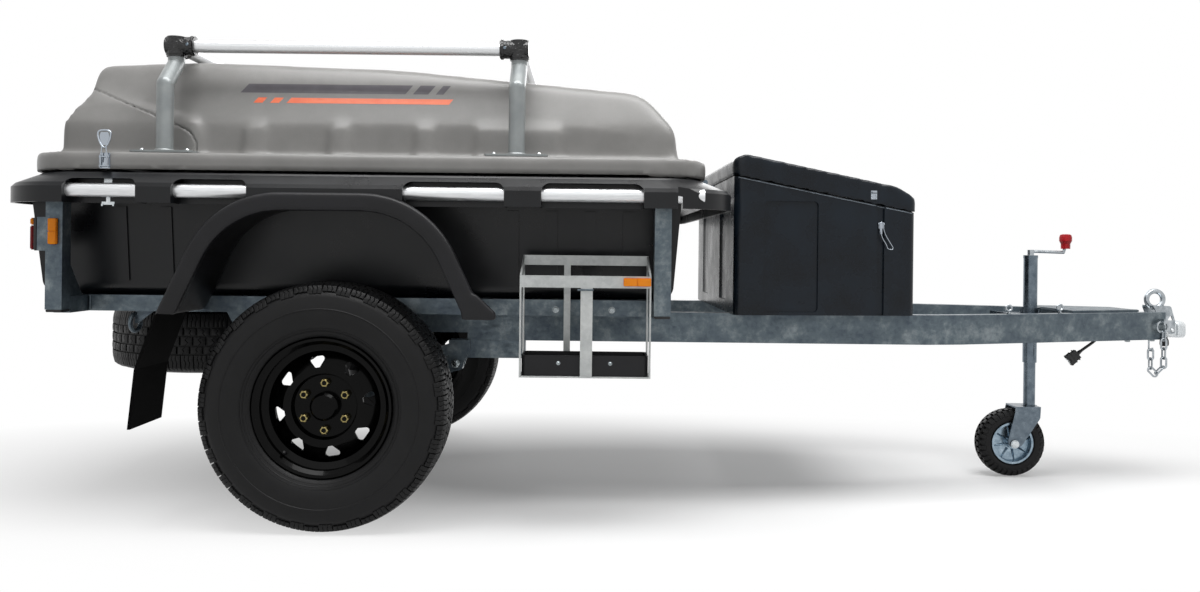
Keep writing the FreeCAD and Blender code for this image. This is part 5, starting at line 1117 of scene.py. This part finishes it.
def add_nose_hardware():
    eyes = [eye_bolt(x, rail_y(x), 630) for x in (2244, 2459)]
    finish_mesh("lashing_eyes", eyes[0] + eyes[1], BRIGHT_ZINC, "chassis")
    bumper = [lathe([(0.01, 496), (11, 496.5), (15, 500), (16, 507), (15, 520), (11, 528), (11, 541),
                     (0.01, 541)], 24)]
    bumper = [moved(s, Matrix.Translation((2966, 0, 0))) for s in bumper]
    finish_mesh("coupling_bumper", bumper, TYRE, "chassis")
    knob = lathe([(0.01, 862), (16.6, 862), (16.9, 881), (19, 885), (22.5, 892), (22.5, 905),
                  (19.5, 915), (12, 917.5), (0.01, 918)], 12)
    finish_mesh("crank_knob", [moved(knob, Matrix.Translation((2587, 0, 0)))], KNOB, "chassis",
                sharp=25)
    nuts = put(hex_head(24, 9), [(JOCKEY_AXLE + Vector((0, y, 0)), (0, y, 0)) for y in (-52, 52)])
    finish_mesh("jockey_axle_nuts", nuts, PALE_CLIP, "jockey_swivel")
    ribs = []
    for sign in (-1, 1):
        face = abs(touch("jockey_hub", (2411, sign * 300, 127), (0, -sign, 0))[0].y)
        place = facing(JOCKEY_AXLE + Vector((0, sign * face, 0)), (0, sign, 0))
        for k in range(8):
            rib = [(24, -5.5, 0), (24, 5.5, 0), (68, 3, 0), (68, -3, 0), (24, 0, 11), (68, 0, 3)]
            faces = [[0, 1, 2, 3][::-1], [0, 1, 4], [1, 2, 5, 4], [2, 3, 5], [3, 0, 4, 5]]
            turn = Matrix.Rotation(radians(45 * k + 12), 4, "Z")
            ribs.append(moved((rib, faces), place @ turn))
    finish_mesh("jockey_disc_ribs", ribs, BLUE_ZINC, "jockey_wheel", bevel=1.0, sharp=20)


def add_toolbox_seam():
    """The thin moulded lip along the joint between the toolbox and its lid; its pale grey is a painted
    highlight along the lip.
    """
    path = []
    for k in range(61):
        x = 1262 + 588 * k / 60
        z = 1082 - (x - 1250) * 113 / 612
        path.append(touch("toolbox_body", (x, -FAR_OUT, z), (0, 1, 0))[0])
    finish_mesh("toolbox_seam_lip", both([tube(path, 1.7, 8)]), BOX_LIP_PAINTED_HIGHLIGHT, "chassis")


add_rack_hardware()
add_frame_hardware()
add_nose_hardware()
add_toolbox_seam()


# Floor and light

FLOOR_NEAR, FLOOR_FAR = 0.35, 1.25
FLOOR_NEAR_WHITE = 0.15
FLOOR_SHAPE = (0.36, 0.9, 1)
HALF_FLOOR = 30


def background_rays(tree):
    """One for rays that see the background directly, in gloss or through glass."""
    rays = add(tree, "ShaderNodeLightPath")
    seen = add(tree, "ShaderNodeMath", {"operation": "MAXIMUM"},
               {0: (rays, "Is Camera Ray"), 1: (rays, "Is Glossy Ray")})
    return add(tree, "ShaderNodeMath", {"operation": "MAXIMUM"},
               {0: (seen, "Value"), 1: (rays, "Is Transmission Ray")})


def add_floor():
    mat = bpy.data.materials.new("studio_floor")
    mat.use_nodes = True
    tree = mat.node_tree
    shader = tree.nodes["Principled BSDF"]
    shader.inputs["Base Color"].default_value = linear("#f4f4f4")
    shader.inputs["Roughness"].default_value = 0.9
    shader.inputs["Specular IOR Level"].default_value = 0.0
    place = add(tree, "ShaderNodeTexCoord")
    oval = add(tree, "ShaderNodeMapping", {"Scale": FLOOR_SHAPE}, {"Vector": (place, "Object")})
    reach = add(tree, "ShaderNodeVectorMath", {"operation": "LENGTH"}, {0: (oval, "Vector")})
    fade = add(tree, "ShaderNodeMapRange", {"From Min": FLOOR_NEAR, "From Max": FLOOR_FAR,
                                            "To Min": FLOOR_NEAR_WHITE, "To Max": 1.0},
               {"Value": (reach, "Value")})
    share = add(tree, "ShaderNodeMath", {"operation": "MULTIPLY"},
                {0: (background_rays(tree), "Value"), 1: (fade, "Result")})
    white = add(tree, "ShaderNodeEmission", {"Color": (1, 1, 1, 1), "Strength": 1.0})
    mixed = add(tree, "ShaderNodeMixShader", None,
                {"Fac": (share, "Value"), 1: (shader, "BSDF"), 2: (white, "Emission")})
    tree.links.new(mixed.outputs[0], tree.nodes["Material Output"].inputs["Surface"])
    mesh = bpy.data.meshes.new("studio_floor")
    corners = [(x * HALF_FLOOR, y * HALF_FLOOR, 0) for x, y in ((-1, -1), (1, -1), (1, 1), (-1, 1))]
    mesh.from_pydata(corners, [], [(0, 1, 2, 3)])
    new_object("studio_floor", mesh, mat)


AIR_LIGHT = 0.24


def add_world():
    world = bpy.data.worlds.new("studio_air")
    bpy.context.scene.world = world
    world.use_nodes = True
    tree = world.node_tree
    strength = add(tree, "ShaderNodeMapRange", {"To Min": AIR_LIGHT, "To Max": 1.0},
                   {"Value": (background_rays(tree), "Value")})
    back = tree.nodes["Background"]
    back.inputs["Color"].default_value = (1, 1, 1, 1)
    tree.links.new(strength.outputs[0], back.inputs["Strength"])


def add_lamp(name, place, target, size, power):
    data = bpy.data.lights.new(name, "AREA")
    data.shape = "RECTANGLE"
    data.size, data.size_y = size
    data.energy = power
    lamp = new_object(name, data)
    lamp.location = place
    lamp.rotation_euler = (Vector(target) - Vector(place)).to_track_quat("-Z", "Y").to_euler()


add_floor()
add_world()
add_lamp("overhead_softbox", (0.2, -1.3, 4.3), (0, 0, 0.6), (5.0, 2.0), 235)
add_lamp("front_softbox", (-1.0, -5.0, 2.4), (-0.3, 0, 0.7), (4.5, 1.2), 12)
add_lamp("rear_softbox", (0.5, 4.5, 3.0), (0, 0, 0.8), (4.0, 2.0), 70)
bpy.context.scene.view_settings.view_transform = "Standard"
